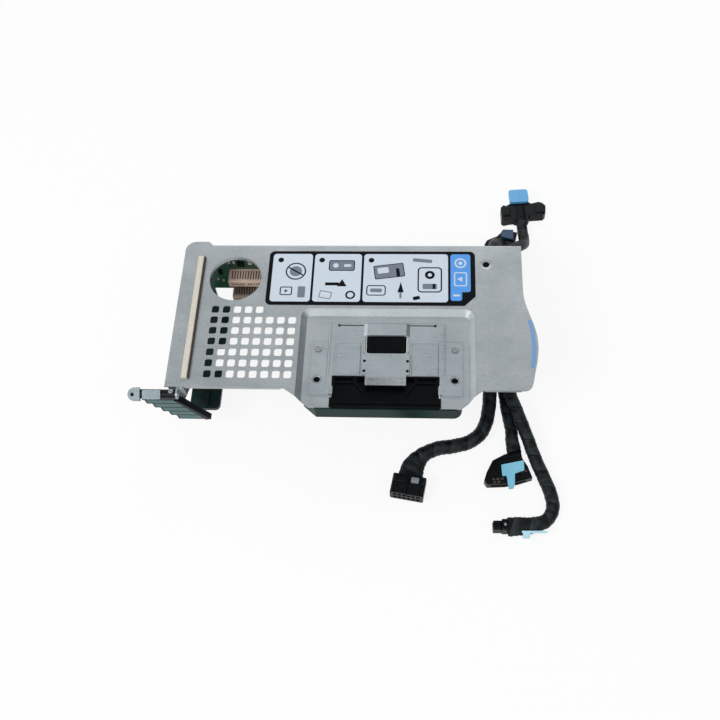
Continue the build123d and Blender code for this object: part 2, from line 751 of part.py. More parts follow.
def make_rear_bracket():
    """The rear wall with its two card windows, a flange under the cover and a foot flange."""
    wall_end_y = BOARD_FRONT_Y - 1.0
    far_x = REAR_WALL_X + SHEET
    bracket = side_plate(
        (
            (REAR_WALL_FRONT_Y, COVER_UNDERSIDE),
            (REAR_WALL_FRONT_Y, REAR_WALL_KNEE_Z),
            (REAR_WALL_FOOT_Y, GUIDE_THICKNESS),
            (wall_end_y, GUIDE_THICKNESS),
            (wall_end_y, COVER_UNDERSIDE),
        ),
        REAR_WALL_X,
        far_x,
    )
    windows = (
        (SLOT_LEVELS[0], CARD_WINDOW_NEAR_Y),
        (SLOT_LEVELS[1], LOWER_WINDOW_NEAR_Y),
    )
    for level, near_y in windows:
        top = level - CARD_WINDOW_DROP
        window = block(
            (REAR_WALL_X - 1, far_x + 1),
            (near_y, BOARD_FRONT_Y - CARD_WINDOW_MARGIN),
            (top - CARD_WINDOW_HEIGHT, top),
        )
        bracket -= fillet(window.edges().filter_by(Axis.X), CARD_WINDOW_CORNER)
    flange_x = (REAR_WALL_X, REAR_WALL_X + FLANGE_WIDTH)
    flange_z = (COVER_UNDERSIDE - SHEET, COVER_UNDERSIDE)
    bracket += block(flange_x, (REAR_WALL_FRONT_Y, wall_end_y), flange_z)
    foot_z = (GUIDE_THICKNESS, GUIDE_THICKNESS + SHEET)
    foot_x = (REAR_WALL_X, REAR_WALL_X + FOOT_WIDTH)
    bracket += block(foot_x, (REAR_WALL_FOOT_Y, wall_end_y), foot_z)
    ear_y = (LATCH_AXIS_Y - LATCH_BARREL_RADIUS, REAR_WALL_FRONT_Y + SHEET)
    ear_z = (LATCH_AXIS_Z - LATCH_BARREL_RADIUS, LATCH_AXIS_Z + LATCH_BARREL_RADIUS)
    ear_x = LATCH_END_X + BODY_GAP
    ear = block((ear_x, ear_x + LATCH_EAR_THICKNESS), ear_y, ear_z)
    tips = edges_along(ear, Axis.X, lambda p: p.Y < LATCH_AXIS_Y)
    ear = fillet(tips, LATCH_BARREL_RADIUS * 0.9)
    tie_x = (REAR_WALL_X, ear_x + LATCH_EAR_THICKNESS)
    bracket += ear + block(tie_x, (REAR_WALL_FRONT_Y, REAR_WALL_FRONT_Y + SHEET), ear_z)
    tab_z = (COVER_UNDERSIDE - EAR_TAB_DROP, ear_z[1])
    bracket += block((ear_x, ear_end()), EAR_TAB_Y, tab_z)
    hole_start = (ear_x - 1, LATCH_AXIS_Y, LATCH_AXIS_Z)
    hole_end = (ear_x + LATCH_EAR_THICKNESS + 1, LATCH_AXIS_Y, LATCH_AXIS_Z)
    return bracket - round_bar(hole_start, hole_end, LATCH_PIN_RADIUS)


def make_base_guide():
    """Dark guide plate under the rear bracket, notched on its inner side, with a stiffening rib."""
    notch_near, notch_far = GUIDE_NOTCH_Y
    guide_far_y = BOARD_FRONT_Y - GUIDE_FAR_GAP
    face = polygon(
        (
            (GUIDE_START_X, GUIDE_FRONT_Y),
            (GUIDE_END_X, GUIDE_FRONT_Y),
            (GUIDE_END_X, notch_near),
            (GUIDE_NOTCH_X, notch_near),
            (GUIDE_NOTCH_X, notch_far),
            (GUIDE_END_X, notch_far),
            (GUIDE_END_X, guide_far_y),
            (GUIDE_START_X, guide_far_y),
        )
    )
    inner_corners = [v for v in face.vertices() if v.X > GUIDE_END_X - 0.01]
    front_corner = [v for v in inner_corners if v.Y < GUIDE_FRONT_Y + 0.01]
    face = fillet(front_corner, GUIDE_CORNER)
    guide = plate(face, 0, GUIDE_THICKNESS)
    rib_x = (GUIDE_NOTCH_X - GUIDE_RIB_WIDTH, GUIDE_NOTCH_X)
    rib_z = (GUIDE_THICKNESS, GUIDE_THICKNESS + GUIDE_RIB_HEIGHT)
    guide += block(rib_x, (GUIDE_FRONT_Y + 2, guide_far_y - 2), rib_z)
    return guide


def make_end_bracket():
    """The inner wall at the cable end, with a flange under the cover and a foot flange."""
    wall_end_y = BOARD_FRONT_Y - 1.0
    far_x = END_WALL_X + SHEET
    wall = side_plate(
        (
            (END_WALL_TOP_Y, COVER_UNDERSIDE),
            (END_WALL_FOOT_Y, 0),
            (wall_end_y, 0),
            (wall_end_y, COVER_UNDERSIDE),
        ),
        END_WALL_X,
        far_x,
    )
    opening = side_plate(
        (
            (END_WALL_FOOT_Y - 6, COVER_UNDERSIDE - END_OPENING_DROP),
            (END_WALL_FOOT_Y + 8, END_OPENING_BOTTOM),
            (wall_end_y - END_OPENING_MARGIN, END_OPENING_BOTTOM),
            (wall_end_y - END_OPENING_MARGIN, COVER_UNDERSIDE - END_OPENING_DROP),
        ),
        END_WALL_X - 1,
        far_x + 1,
    )
    wall -= fillet(opening.edges().filter_by(Axis.X), END_OPENING_CORNER)
    pan_rim = PAN_MIDDLE_X + PAN_HALF_WIDTH + SHEET
    flange_x = (END_WALL_X, END_WALL_X + FLANGE_WIDTH)
    wall += block(flange_x, (PAN_FAR_Y + 4, wall_end_y - 2), (COVER_UNDERSIDE - SHEET, COVER_UNDERSIDE))
    wall += block((far_x - FLANGE_WIDTH, far_x), (END_WALL_FOOT_Y, wall_end_y), (0, SHEET))
    rim_relief = block(
        (pan_rim - 6, pan_rim + 0.6),
        (0, PAN_FAR_Y + 3),
        (PAN_UNDERSIDE - 1.2, HEIGHT),
    )
    return wall - rim_relief


def make_riser_board():
    """The circuit board that stands on its edge, with its edge-connector tongues."""
    outline = [
        (BOARD_START_X, BOARD_LEG_BOTTOM),
        (BOARD_START_X + BOARD_LEG_WIDTH, BOARD_LEG_BOTTOM),
        (BOARD_START_X + BOARD_LEG_WIDTH, BOARD_NOTCH_TOP),
        (BOARD_NOTCH_END_X, BOARD_NOTCH_TOP),
        (BOARD_NOTCH_END_X, BOARD_BOTTOM),
    ]
    for start, end in EDGE_TONGUES:
        outline += [(start, BOARD_BOTTOM), (start, TONGUE_CHAMFER), (start + TONGUE_CHAMFER, 0)]
        outline += [(end - TONGUE_CHAMFER, 0), (end, TONGUE_CHAMFER), (end, BOARD_BOTTOM)]
    outline += [
        (BOARD_END_X, BOARD_BOTTOM),
        (BOARD_END_X, BOARD_TOP),
        (BOARD_START_X, BOARD_TOP),
    ]
    board = front_plate(outline, BOARD_FRONT_Y, BOARD_BACK_Y)
    for x, z in board_screw_points():
        board -= across(x, z, SCREW_RADIUS + FIT_GAP, BOARD_FRONT_Y - 1, BOARD_BACK_Y + 1)
    return board


def make_slot_connector(level):
    """A long card slot: body with a groove, a key web in the groove and a tail hook."""
    near_y = BOARD_FRONT_Y - SLOT_BODY_DEPTH
    start, end = SLOT_START_X, SLOT_START_X + SLOT_LENGTH
    half = SLOT_BODY_HEIGHT / 2
    body = block((start, end), (near_y, BOARD_FRONT_Y), (level - half, level + half))
    near_edges = edges_along(body, Axis.X, lambda p: p.Y < near_y + 0.01)
    body = chamfer(near_edges, 1.0)
    key = start + SLOT_KEY_OFFSET
    grooves = ((start + SLOT_END_MARGIN, key), (key + SLOT_KEY_WIDTH, end - SLOT_END_MARGIN))
    groove_z = (level - SLOT_GROOVE / 2, level + SLOT_GROOVE / 2)
    for groove_x in grooves:
        body -= block(groove_x, (near_y - 1, near_y + SLOT_GROOVE_DEPTH), groove_z)
    tail_x = (end, end + SLOT_TAIL_LENGTH)
    tail_z = (level - SLOT_TAIL_THICKNESS / 2, level + SLOT_TAIL_THICKNESS / 2)
    tail = block(tail_x, (near_y + 3, BOARD_FRONT_Y), tail_z)
    hook = block((tail_x[1] - SLOT_TAIL_THICKNESS, tail_x[1]), (near_y - 2, near_y + 3.5), tail_z)
    return body + tail + hook


def make_standoffs():
    """Round standoffs that hold the board off its wall."""
    parts = []
    for x, z in board_screw_points():
        sleeve = across(x, z, STANDOFF_RADIUS, BOARD_BACK_Y, COVER_DEPTH - SHEET)
        parts.append(sleeve - across(x, z, SCREW_RADIUS + FIT_GAP, BOARD_BACK_Y - 1, COVER_DEPTH))
    return Compound(children=parts)


def make_board_screws():
    """Pan-head screws through the board and its standoffs."""
    parts = []
    for x, z in board_screw_points():
        shank = across(x, z, SCREW_RADIUS, BOARD_FRONT_Y, COVER_DEPTH)
        head_y = BOARD_FRONT_Y - SCREW_HEAD_HEIGHT
        head = across(x, z, SCREW_HEAD_RADIUS, head_y, BOARD_FRONT_Y)
        head = chamfer(head.edges().group_by(Axis.Y)[0], SCREW_HEAD_CHAMFER)
        hexagon = Plane.XZ * RegularPolygon(SCREW_SOCKET_RADIUS, 6)
        socket = Pos(x, head_y, z) * extrude(hexagon, SCREW_SOCKET_DEPTH, both=True)
        parts.append(shank + head - socket)
    return Compound(children=parts)


def make_holder_bracket():
    """Formed steel bracket of the card holder: wings, embossed pads, arch and bridge."""
    middle = PAN_MIDDLE_X
    low, high = PAN_FLOOR, PAN_FLOOR + HOLDER_SHEET
    half = HOLDER_HALF_WIDTH
    bracket = block((middle - half, middle + half), (HOLDER_NEAR_Y, HOLDER_FAR_Y), (low, high))
    for side in (-1, 1):
        wing_x = sorted((middle + side * (half - 1.6), middle + side * HOLDER_WING_HALF))
        wing = block(wing_x, HOLDER_WING_Y, (low, high))
        outer = edges_along(wing, Axis.Z, lambda p: abs(p.X - middle) > HOLDER_WING_HALF - 0.01)
        bracket += fillet(outer, 1.4)
        tab_x = sorted((middle + side * (BODY_HALF_WIDTH + BODY_GAP), middle + side * (half - 1.6)))
        bracket += block(tab_x, (0, HOLDER_NEAR_Y), (low, high))
        relief_x = sorted((middle + side * half, middle + side * (half + HOLDER_WING_GAP)))
        bracket -= block(relief_x, (HOLDER_NEAR_Y + 2, HOLDER_WING_Y[1] + 1), (low - 1, high + 1))
        emboss_x = sorted((middle + side * EMBOSS_X[0], middle + side * EMBOSS_X[1]))
        emboss = block(emboss_x, (HOLDER_NEAR_Y, EMBOSS_FAR_Y), (high, high + EMBOSS_RISE))
        far_corners = edges_along(emboss, Axis.Z, lambda p: p.Y > EMBOSS_FAR_Y - 0.01)
        emboss = fillet(far_corners, EMBOSS_CORNER)
        top_edges = emboss.edges().group_by(Axis.Z)[-1]
        rim = [edge for edge in top_edges if edge.center().Y > HOLDER_NEAR_Y + 0.01]
        bracket += chamfer(rim, EMBOSS_RISE * 0.7)
        bracket -= holder_slit(side, low, high)
    window_half = HOLDER_WINDOW_HALF
    bracket -= block((middle - window_half, middle + window_half), HOLDER_WINDOW_Y, (low - 1, high + 1))
    bracket -= block(
        (middle - ARCH_HALF_WIDTH + 2, middle + ARCH_HALF_WIDTH - 2),
        (ARCH_Y[0] - 0.1, ARCH_Y[1] - 2),
        (low - 1, high + 1),
    )
    bracket -= block(
        (middle - BRIDGE_HALF_WIDTH, middle + BRIDGE_HALF_WIDTH),
        (HOLDER_NEAR_Y - 1, HOLDER_WINDOW_Y[0] + 1),
        (low - 1, high + 1),
    )
    bracket += make_arch(high) + make_bridge(low, high)
    return bracket - holder_holes(low)


def holder_slit(side, low, high):
    """The relief slit with round eyes beside the arch, on one side."""
    near_x = PAN_MIDDLE_X + side * HOLDER_SLIT_X[0]
    far_x = PAN_MIDDLE_X + side * HOLDER_SLIT_X[1]
    half = HOLDER_SLIT_WIDTH / 2
    slit_y = (HOLDER_SLIT_Y - half, HOLDER_SLIT_Y + half)
    slit = block(sorted((near_x, far_x)), slit_y, (low - 1, high + 1))
    for x in (near_x, far_x):
        slit += upright(x, HOLDER_SLIT_Y, HOLDER_SLIT_EYE, low - 1, high + 1)
    return slit


def make_arch(base):
    """The raised lip that covers the thumb pad's far end."""
    rise = ARCH_RISE
    outer = [
        (PAN_MIDDLE_X - ARCH_HALF_WIDTH, base - HOLDER_SHEET),
        (PAN_MIDDLE_X - ARCH_HALF_WIDTH, base),
        (PAN_MIDDLE_X - ARCH_HALF_WIDTH + rise + 0.6, base + rise),
        (PAN_MIDDLE_X + ARCH_HALF_WIDTH - rise - 0.6, base + rise),
        (PAN_MIDDLE_X + ARCH_HALF_WIDTH, base),
        (PAN_MIDDLE_X + ARCH_HALF_WIDTH, base - HOLDER_SHEET),
    ]
    arch = front_plate(outer, *ARCH_Y)
    inner_half = ARCH_HALF_WIDTH - 1.3
    inner_rise = rise - HOLDER_SHEET
    hollow = front_plate(
        (
            (PAN_MIDDLE_X - inner_half, base - HOLDER_SHEET - 1),
            (PAN_MIDDLE_X - inner_half + inner_rise, base + inner_rise),
            (PAN_MIDDLE_X + inner_half - inner_rise, base + inner_rise),
            (PAN_MIDDLE_X + inner_half, base - HOLDER_SHEET - 1),
        ),
        ARCH_Y[0] - 1,
        ARCH_Y[1] - 1.4,
    )
    back_edge = edges_along(arch, Axis.X, lambda p: p.Y > ARCH_Y[1] - 0.01 and p.Z > base + rise - 0.01)
    arch = chamfer(back_edge, rise * 0.6)
    return arch - hollow


def make_bridge(low, high):
    """The bridge over the pad's tongue, with its lip that slopes down over the body."""
    near_y, far_y = BRIDGE_Y
    top = high + BRIDGE_RISE
    lip_y = HOLDER_NEAR_Y - 1
    profile = (
        (near_y, high - 0.2),
        (near_y, high + 0.7),
        (lip_y, top),
        (far_y, top),
        (far_y, top - HOLDER_SHEET),
        (lip_y, top - HOLDER_SHEET),
    )
    bridge = side_plate(profile, PAN_MIDDLE_X - BRIDGE_HALF_WIDTH, PAN_MIDDLE_X + BRIDGE_HALF_WIDTH)
    for side in (-1, 1):
        step_x = sorted(
            (
                PAN_MIDDLE_X + side * BRIDGE_HALF_WIDTH,
                PAN_MIDDLE_X + side * (BRIDGE_HALF_WIDTH + BRIDGE_STEP),
            )
        )
        bridge += block(step_x, (HOLDER_NEAR_Y, far_y), (low, top))
    top_edges = edges_along(bridge, Axis.Y, lambda p: p.Z > top - 0.01)
    outer_half = BRIDGE_HALF_WIDTH + BRIDGE_STEP / 2
    side_edges = [edge for edge in top_edges if abs(edge.center().X - PAN_MIDDLE_X) > outer_half]
    bridge = chamfer(side_edges, BRIDGE_CHAMFER)
    for side in (-1, 1):
        for y in BRIDGE_HOLE_Y:
            x = PAN_MIDDLE_X + side * BRIDGE_HOLE_X
            bridge -= upright(x, y, BRIDGE_HOLE_RADIUS, low - 1, top + 1)
    return bridge


def holder_holes(low):
    """Screw holes and rivet holes through the wings, the screw holes slightly countersunk."""
    holes = None
    high = low + HOLDER_SHEET
    for side in (-1, 1):
        x = PAN_MIDDLE_X + side * HOLDER_HOLE_X
        hole = upright(x, HOLDER_HOLE_Y, HOLDER_HOLE_RADIUS, low - 1, high + 1)
        cone = Cone(HOLDER_HOLE_RADIUS, HOLDER_HOLE_RADIUS + 2 * COUNTERSINK, COUNTERSINK)
        sink = Pos(x, HOLDER_HOLE_Y, high - COUNTERSINK / 2) * cone
        x = PAN_MIDDLE_X + side * RIVET_X
        rivet = upright(x, RIVET_Y, RIVET_SHANK_RADIUS + FIT_GAP, low - 1, high + 1)
        group = hole + sink + rivet
        holes = group if holes is None else holes + group
    return holes


def make_holder_rivets():
    """Domed rivets that hold the bracket's wings to the pan."""
    parts = []
    top = PAN_FLOOR + HOLDER_SHEET
    for side in (-1, 1):
        x = PAN_MIDDLE_X + side * RIVET_X
        head = upright(x, RIVET_Y, RIVET_RADIUS, top, top + RIVET_HEAD_HEIGHT)
        head = chamfer(head.edges().group_by(Axis.Z)[-1], RIVET_HEAD_CHAMFER)
        shank = upright(x, RIVET_Y, RIVET_SHANK_RADIUS, PAN_UNDERSIDE - 0.5, top)
        tail = upright(x, RIVET_Y, RIVET_RADIUS, PAN_UNDERSIDE - 1.0, PAN_UNDERSIDE)
        parts.append(head + shank + tail)
    return Compound(children=parts)


def make_holder_body():
    """Black moulding in the pan's notch: two panels, a sloping-sided well and a front rail."""
    middle = PAN_MIDDLE_X
    top = HEIGHT - BODY_DROP
    half = BODY_HALF_WIDTH
    rail_top = HEIGHT - BODY_RAIL_DROP
    inner_y = SKIRT_FRONT_Y + SKIRT_WALL + BODY_GAP
    body = block((middle - half, middle + half), (inner_y, HOLDER_NEAR_Y), (top - BODY_DEPTH, top))
    body += block((middle - BODY_RAIL_HALF, middle + BODY_RAIL_HALF), BODY_RAIL_Y, (PAN_FLOOR, rail_top))
    body += block((middle - half, middle + half), BODY_RAIL_Y, (PAN_UNDERSIDE, PAN_FLOOR))
    well = polygon(
        (
            (middle - BODY_WELL_TOP, HOLDER_NEAR_Y - 3.4),
            (middle - BODY_WELL_BOTTOM, BODY_RAIL_Y[1] - 2.4),
            (middle + BODY_WELL_BOTTOM, BODY_RAIL_Y[1] - 2.4),
            (middle + BODY_WELL_TOP, HOLDER_NEAR_Y - 3.4),
            (middle + BODY_WELL_TOP - 2.0, HOLDER_NEAR_Y + 1),
            (middle - BODY_WELL_TOP + 2.0, HOLDER_NEAR_Y + 1),
        )
    )
    body -= plate(well, top - BODY_WELL_DEPTH, rail_top + 1)
    for side in (-1, 1):
        ledge_x = sorted((middle + side * (BODY_WELL_TOP + 2.0), middle + side * (half - 2.0)))
        body -= block(ledge_x, (HOLDER_NEAR_Y - 3.6, HOLDER_NEAR_Y - 1.4), (top - 1.6, top + 1))
        panel = polygon(
            (
                (middle + side * (BODY_WELL_TOP + 1.6), HOLDER_NEAR_Y - 5.4),
                (middle + side * (half - 2.0), HOLDER_NEAR_Y - 5.4),
                (middle + side * (half - 2.0), BODY_RAIL_Y[1] + 1.2),
                (middle + side * (BODY_WELL_BOTTOM + 3.6), BODY_RAIL_Y[1] + 1.2),
            )
        )
        body -= plate(panel, top - 0.9, top + 1)
    groove_x = (middle - BODY_RAIL_HALF + 1, middle + BODY_RAIL_HALF - 1)
    groove_y = (BODY_RAIL_Y[0] + 1.8, BODY_RAIL_Y[0] + 2.6)
    body -= block(groove_x, groove_y, (rail_top - 0.6, rail_top + 1))
    for side in (-1, 1):
        arm_x = sorted((middle + side * BODY_ARM_X[0], middle + side * BODY_ARM_X[1]))
        arm_z = (PAN_UNDERSIDE - BODY_ARM_THICKNESS, PAN_UNDERSIDE)
        body += block(arm_x, (HOLDER_NEAR_Y - 1, BODY_ARM_FAR_Y), arm_z)
    rail_edges = edges_along(body, Axis.X, lambda p: p.Z > rail_top - 0.01)
    front_edge = [edge for edge in rail_edges if edge.center().Y < BODY_RAIL_Y[0] + 0.01]
    return fillet(front_edge, 0.6)


def make_holder_skirt():
    """Dark moulded skirt that hangs under the pan's tab, open below."""
    middle = PAN_MIDDLE_X
    top = PAN_UNDERSIDE
    half = SKIRT_HALF_WIDTH
    rear_x = middle - half - SKIRT_REAR_REACH
    outer = polygon(
        (
            (rear_x, SKIRT_BACK_Y),
            (rear_x, SKIRT_FRONT_Y + SKIRT_REAR_RISE),
            (rear_x + SKIRT_REAR_RUN, SKIRT_FRONT_Y),
            (middle + half, SKIRT_FRONT_Y),
            (middle + half, SKIRT_BACK_Y),
        )
    )
    outer = fillet([v for v in outer.vertices() if v.X > middle and v.Y < 0], SKIRT_CORNER)
    inner = offset(outer, -SKIRT_WALL)
    skirt = plate(outer, top - SKIRT_DEPTH, top) - plate(inner, top - SKIRT_DEPTH - 1, top - SKIRT_WALL)
    notch_half = BODY_HALF_WIDTH + BODY_GAP
    skirt -= block(
        (middle - notch_half, middle + notch_half),
        (SKIRT_FRONT_Y + SKIRT_WALL, SKIRT_BACK_Y + 1),
        (top - SKIRT_WALL - 1, top + 1),
    )
    for side in (-1, 1):
        x = middle + side * HOLDER_HOLE_X
        skirt -= upright(x, HOLDER_HOLE_Y, HOLDER_HOLE_RADIUS, top - SKIRT_WALL - 1, top + 1)
    return skirt


def make_holder_slider():
    """Ribbed thumb pad with the tongue that runs under the bridge."""
    middle = PAN_MIDDLE_X
    top = HEIGHT - PAD_DROP
    near_y = BRIDGE_Y[1] + 2 * BODY_GAP
    far_y = ARCH_Y[1] - 1.4 - PAD_TRAVEL - 2 * BODY_GAP
    pad_x = (middle - PAD_HALF_WIDTH, middle + PAD_HALF_WIDTH)
    pad = block(pad_x, (near_y, far_y), (top - PAD_THICKNESS, top))
    far_corners = edges_along(pad, Axis.Z, lambda p: p.Y > far_y - 0.01)
    pad = fillet(far_corners, 3.2)
    first = -(PAD_RIB_COUNT - 1) / 2
    for index in range(PAD_RIB_COUNT):
        x = middle + (first + index) * PAD_RIB_PITCH
        rib_x = (x - PAD_RIB_WIDTH / 2, x + PAD_RIB_WIDTH / 2)
        pad += block(rib_x, (near_y + 2, ARCH_Y[0] - PAD_TRAVEL - 1), (top, top + PAD_RIB_HEIGHT))
    tongue_z = (PAN_FLOOR + BODY_GAP, PAN_FLOOR + BRIDGE_RISE - BODY_GAP)
    tongue_half = BRIDGE_HALF_WIDTH - 2
    tongue_x = (middle - tongue_half, middle + tongue_half)
    return pad + block(tongue_x, (HOLDER_NEAR_Y + 1.5, near_y + 1), tongue_z)


def louvre_profile():
    """The latch panel's section in y and z: a flat back and one slanting tooth for each louvre."""
    top = HEIGHT - LATCH_NECK_BOTTOM
    bottom = top - LATCH_LOUVRES * LATCH_LOUVRE_PITCH
    points = [(LATCH_BACK_Y, bottom), (LATCH_BACK_Y, top)]
    for index in range(LATCH_LOUVRES):
        tooth_top = top - index * LATCH_LOUVRE_PITCH
        points.append((LATCH_FRONT_Y + LATCH_LOUVRE_DEPTH, tooth_top))
        points.append((LATCH_FRONT_Y, tooth_top - LATCH_LOUVRE_PITCH + 1.0))
        points.append((LATCH_FRONT_Y, tooth_top - LATCH_LOUVRE_PITCH))
    return points


def make_latch_lever():
    """Black latch: hinge barrel, neck and a skewed louvred finger panel with a stepped rear edge."""
    axis_start = (LATCH_START_X, LATCH_AXIS_Y, LATCH_AXIS_Z)
    axis_end = (LATCH_END_X, LATCH_AXIS_Y, LATCH_AXIS_Z)
    lever = round_bar(axis_start, axis_end, LATCH_BARREL_RADIUS)
    panel_top = HEIGHT - LATCH_NECK_BOTTOM
    neck_z = (panel_top - 0.5, LATCH_AXIS_Z)
    lever += block((LATCH_START_X, LATCH_END_X), (LATCH_FRONT_Y, LATCH_BACK_Y), neck_z)
    outline = [(LATCH_START_X, panel_top)]
    for index in range(LATCH_LOUVRES):
        shift = LATCH_SKEW_LEFT * (index + 0.5) / LATCH_LOUVRES
        x = LATCH_START_X + shift
        outline.append((x - LATCH_STEP, panel_top - index * LATCH_LOUVRE_PITCH))
        outline.append((x, panel_top - (index + 1) * LATCH_LOUVRE_PITCH))
    bottom = panel_top - LATCH_LOUVRES * LATCH_LOUVRE_PITCH
    outline.append((LATCH_END_X + LATCH_SKEW_RIGHT, bottom))
    outline.append((LATCH_END_X, panel_top))
    ribbed = side_plate(louvre_profile(), LATCH_START_X - 1, LATCH_END_X + LATCH_SKEW_RIGHT + 1)
    lever += ribbed & front_plate(outline, LATCH_FRONT_Y - 1, LATCH_BACK_Y + 1)
    rail = front_plate(
        (
            (LATCH_END_X - LATCH_RAIL_WIDTH, panel_top),
            (LATCH_END_X, panel_top),
            (LATCH_END_X + LATCH_SKEW_RIGHT + LATCH_RAIL_WIDTH, bottom + 1.0),
            (LATCH_END_X + LATCH_SKEW_RIGHT - LATCH_RAIL_WIDTH, bottom),
        ),
        LATCH_FRONT_Y - LATCH_RAIL_RISE,
        EAR_TAB_Y[0] - BODY_GAP,
    )
    lever += rail
    seat = Box(CLIP_X[1] - CLIP_X[0] + CLIP_CORNER, CLIP_WIDTH - 2 * CLIP_RIDGE_WIDTH, CLIP_SEAT)
    lever += latch_place(sum(CLIP_X) / 2, CLIP_SEAT / 2) * seat
    bore = LATCH_PIN_RADIUS + LATCH_PIN_GAP
    far = (LATCH_END_X + 1, LATCH_AXIS_Y, LATCH_AXIS_Z)
    near = (LATCH_START_X - 1, LATCH_AXIS_Y, LATCH_AXIS_Z)
    return lever - round_bar(near, far, bore)


def make_latch_pin():
    """The steel hinge pin, pressed into the bracket's ear."""
    head_radius, head_height = LATCH_PIN_HEAD
    head_x = LATCH_END_X + BODY_GAP + LATCH_EAR_THICKNESS
    start = (LATCH_START_X + 1.0, LATCH_AXIS_Y, LATCH_AXIS_Z)
    head_start = (head_x, LATCH_AXIS_Y, LATCH_AXIS_Z)
    end = (head_x + head_height, LATCH_AXIS_Y, LATCH_AXIS_Z)
    return round_bar(start, end, LATCH_PIN_RADIUS) + round_bar(head_start, end, head_radius)


def latch_place(x, lift):
    """A place on the latch's barrel: turned to the front, and lifted off the hinge axis."""
    return Pos(x, LATCH_AXIS_Y, LATCH_AXIS_Z) * Rot(CLIP_TILT, 0, 0) * Pos(0, 0, lift)


def make_latch_end_plate():
    """Bright end plate on the latch, round at its tip, with one hole."""
    radius = END_PLATE_RADIUS
    centre_x = END_PLATE_TIP_X + radius
    reach = LATCH_START_X - centre_x
    outline = Circle(radius) + Pos(reach / 2, 0) * Rectangle(reach, 2 * radius)
    outline -= Pos(reach + radius, 0) * Rectangle(2 * radius, 3 * radius)
    outline -= Pos(END_PLATE_HOLE_X - centre_x, 0) * Circle(END_PLATE_HOLE_RADIUS)
    return latch_place(centre_x, END_PLATE_LIFT) * extrude(outline, END_PLATE_THICKNESS)


def make_latch_clip():
    """Ribbed bright clip that lies on the front of the latch's barrel."""
    length = CLIP_X[1] - CLIP_X[0]
    leaf = Box(length, CLIP_WIDTH, CLIP_THICKNESS)
    leaf = fillet(leaf.edges().filter_by(Axis.Z), CLIP_CORNER)
    ridge = Box(length - 3 * CLIP_CORNER, CLIP_RIDGE_WIDTH, CLIP_RIDGE_HEIGHT)
    for row in (-1, 0, 1):
        leaf += Pos(0, row * CLIP_RIDGE_PITCH, CLIP_THICKNESS / 2) * ridge
    return latch_place(sum(CLIP_X) / 2, CLIP_SEAT + CLIP_THICKNESS / 2) * leaf


def make_power_header():
    """Shrouded power header at the cable end of the board, with its plugged-in half."""
    x, near_y, z = from_cable_end(POWER_ROUTE)[0]
    half, rise = POWER_HEADER_HALF, POWER_HEADER_RISE
    body = block((x - half, x + half), (near_y, BOARD_FRONT_Y), (z - rise, z + rise))
    ends = edges_along(body, Axis.X, lambda p: p.Y < near_y + 0.01)
    body = chamfer(ends, POWER_PLUG_CHAMFER)
    latch_z = (z + rise, z + rise + POWER_HEADER_LATCH)
    return body + block((x - half / 4, x + half / 4), (near_y + 2, BOARD_FRONT_Y - 1), latch_z)


def make_signal_header(start, facing):
    """A slim cable header on either face of the board, placed where its cable starts."""
    x, y, z = start
    span = sorted((y, y - facing * HEADER_REACH))
    body = block((x - HEADER_HALF, x + HEADER_HALF), span, (z - HEADER_RISE, z + HEADER_RISE))
    return fillet(body.edges().filter_by(Axis.Y), HEADER_CORNER)


def make_board_chips():
    """Flat chips on the front face of the board, between the slots and the cable end."""
    parts = []
    chip_y = (BOARD_FRONT_Y - CHIP_THICKNESS, BOARD_FRONT_Y)
    for x, z, half in CHIPS:
        parts.append(block((x - half, x + half), chip_y, (z - half, z + half)))
    return Compound(children=parts)


def make_board_capacitors():
    """Round can capacitors on the front face of the board."""
    parts = []
    for index in range(CAN_COUNT):
        x = CAN_FIRST_X + index * CAN_PITCH
        can = across(x, CAN_Z, CAN_RADIUS, BOARD_FRONT_Y - CAN_HEIGHT, BOARD_FRONT_Y)
        parts.append(chamfer(can.edges().group_by(Axis.Y)[0], CAN_CHAMFER))
    return Compound(children=parts)


def make_board_chokes():
    """Square power chokes on the front face of the board."""
    parts = []
    choke_y = (BOARD_FRONT_Y - CHOKE_HEIGHT, BOARD_FRONT_Y)
    choke_z = (CHOKE_BOTTOM, CHOKE_BOTTOM + CHOKE_SIZE)
    for index in range(CHOKE_COUNT):
        x = CHOKE_FIRST_X + index * CHOKE_PITCH
        choke = block((x, x + CHOKE_SIZE), choke_y, choke_z)
        parts.append(chamfer(choke.edges().filter_by(Axis.Y), CHOKE_CHAMFER))
    return Compound(children=parts)


def bend_radii(name, route):
    """Each bend's radius, as large as its two runs allow, printed with the sharpest in diameters."""
    points = [Vector(*point) for point in route]
    radii = []
    for before, corner, after in zip(points, points[1:], points[2:]):
        turn = (corner - before).get_angle(after - corner)
        shorter = min((corner - before).length, (after - corner).length)
        radii.append(BEND_SHARE * shorter / tan(radians(turn) / 2))
    print(name, "radii", [round(radius, 1) for radius in radii])
    return radii


def make_cable(name, route, diameter):
    """A round tube along straight runs joined by tangent arcs."""
    path = FilletPolyline(*route, radius=bend_radii(name, route))
    section = Plane(origin=path @ 0, z_dir=path % 0) * Circle(diameter / 2)
    tube = sweep(section, path=path)
    expected = pi * (diameter / 2) ** 2 * path.length
    print(name, "length", round(path.length, 1), "volume share", round(tube.volume / expected, 4))
    return tube


def plug_frame(route):
    """A plane under a route's far end: x runs on along the cable, kept level, and z is up."""
    end = Vector(*route[-1])
    along = end - Vector(*route[-2])
    level = Vector(along.X, along.Y, 0).normalized()
    return Plane(origin=(end.X, end.Y, 0), x_dir=level, z_dir=(0, 0, 1))


def at_end(route, solid):
    """A plug's solid, moved from its own frame to its route's far end."""
    return plug_frame(route).location * solid


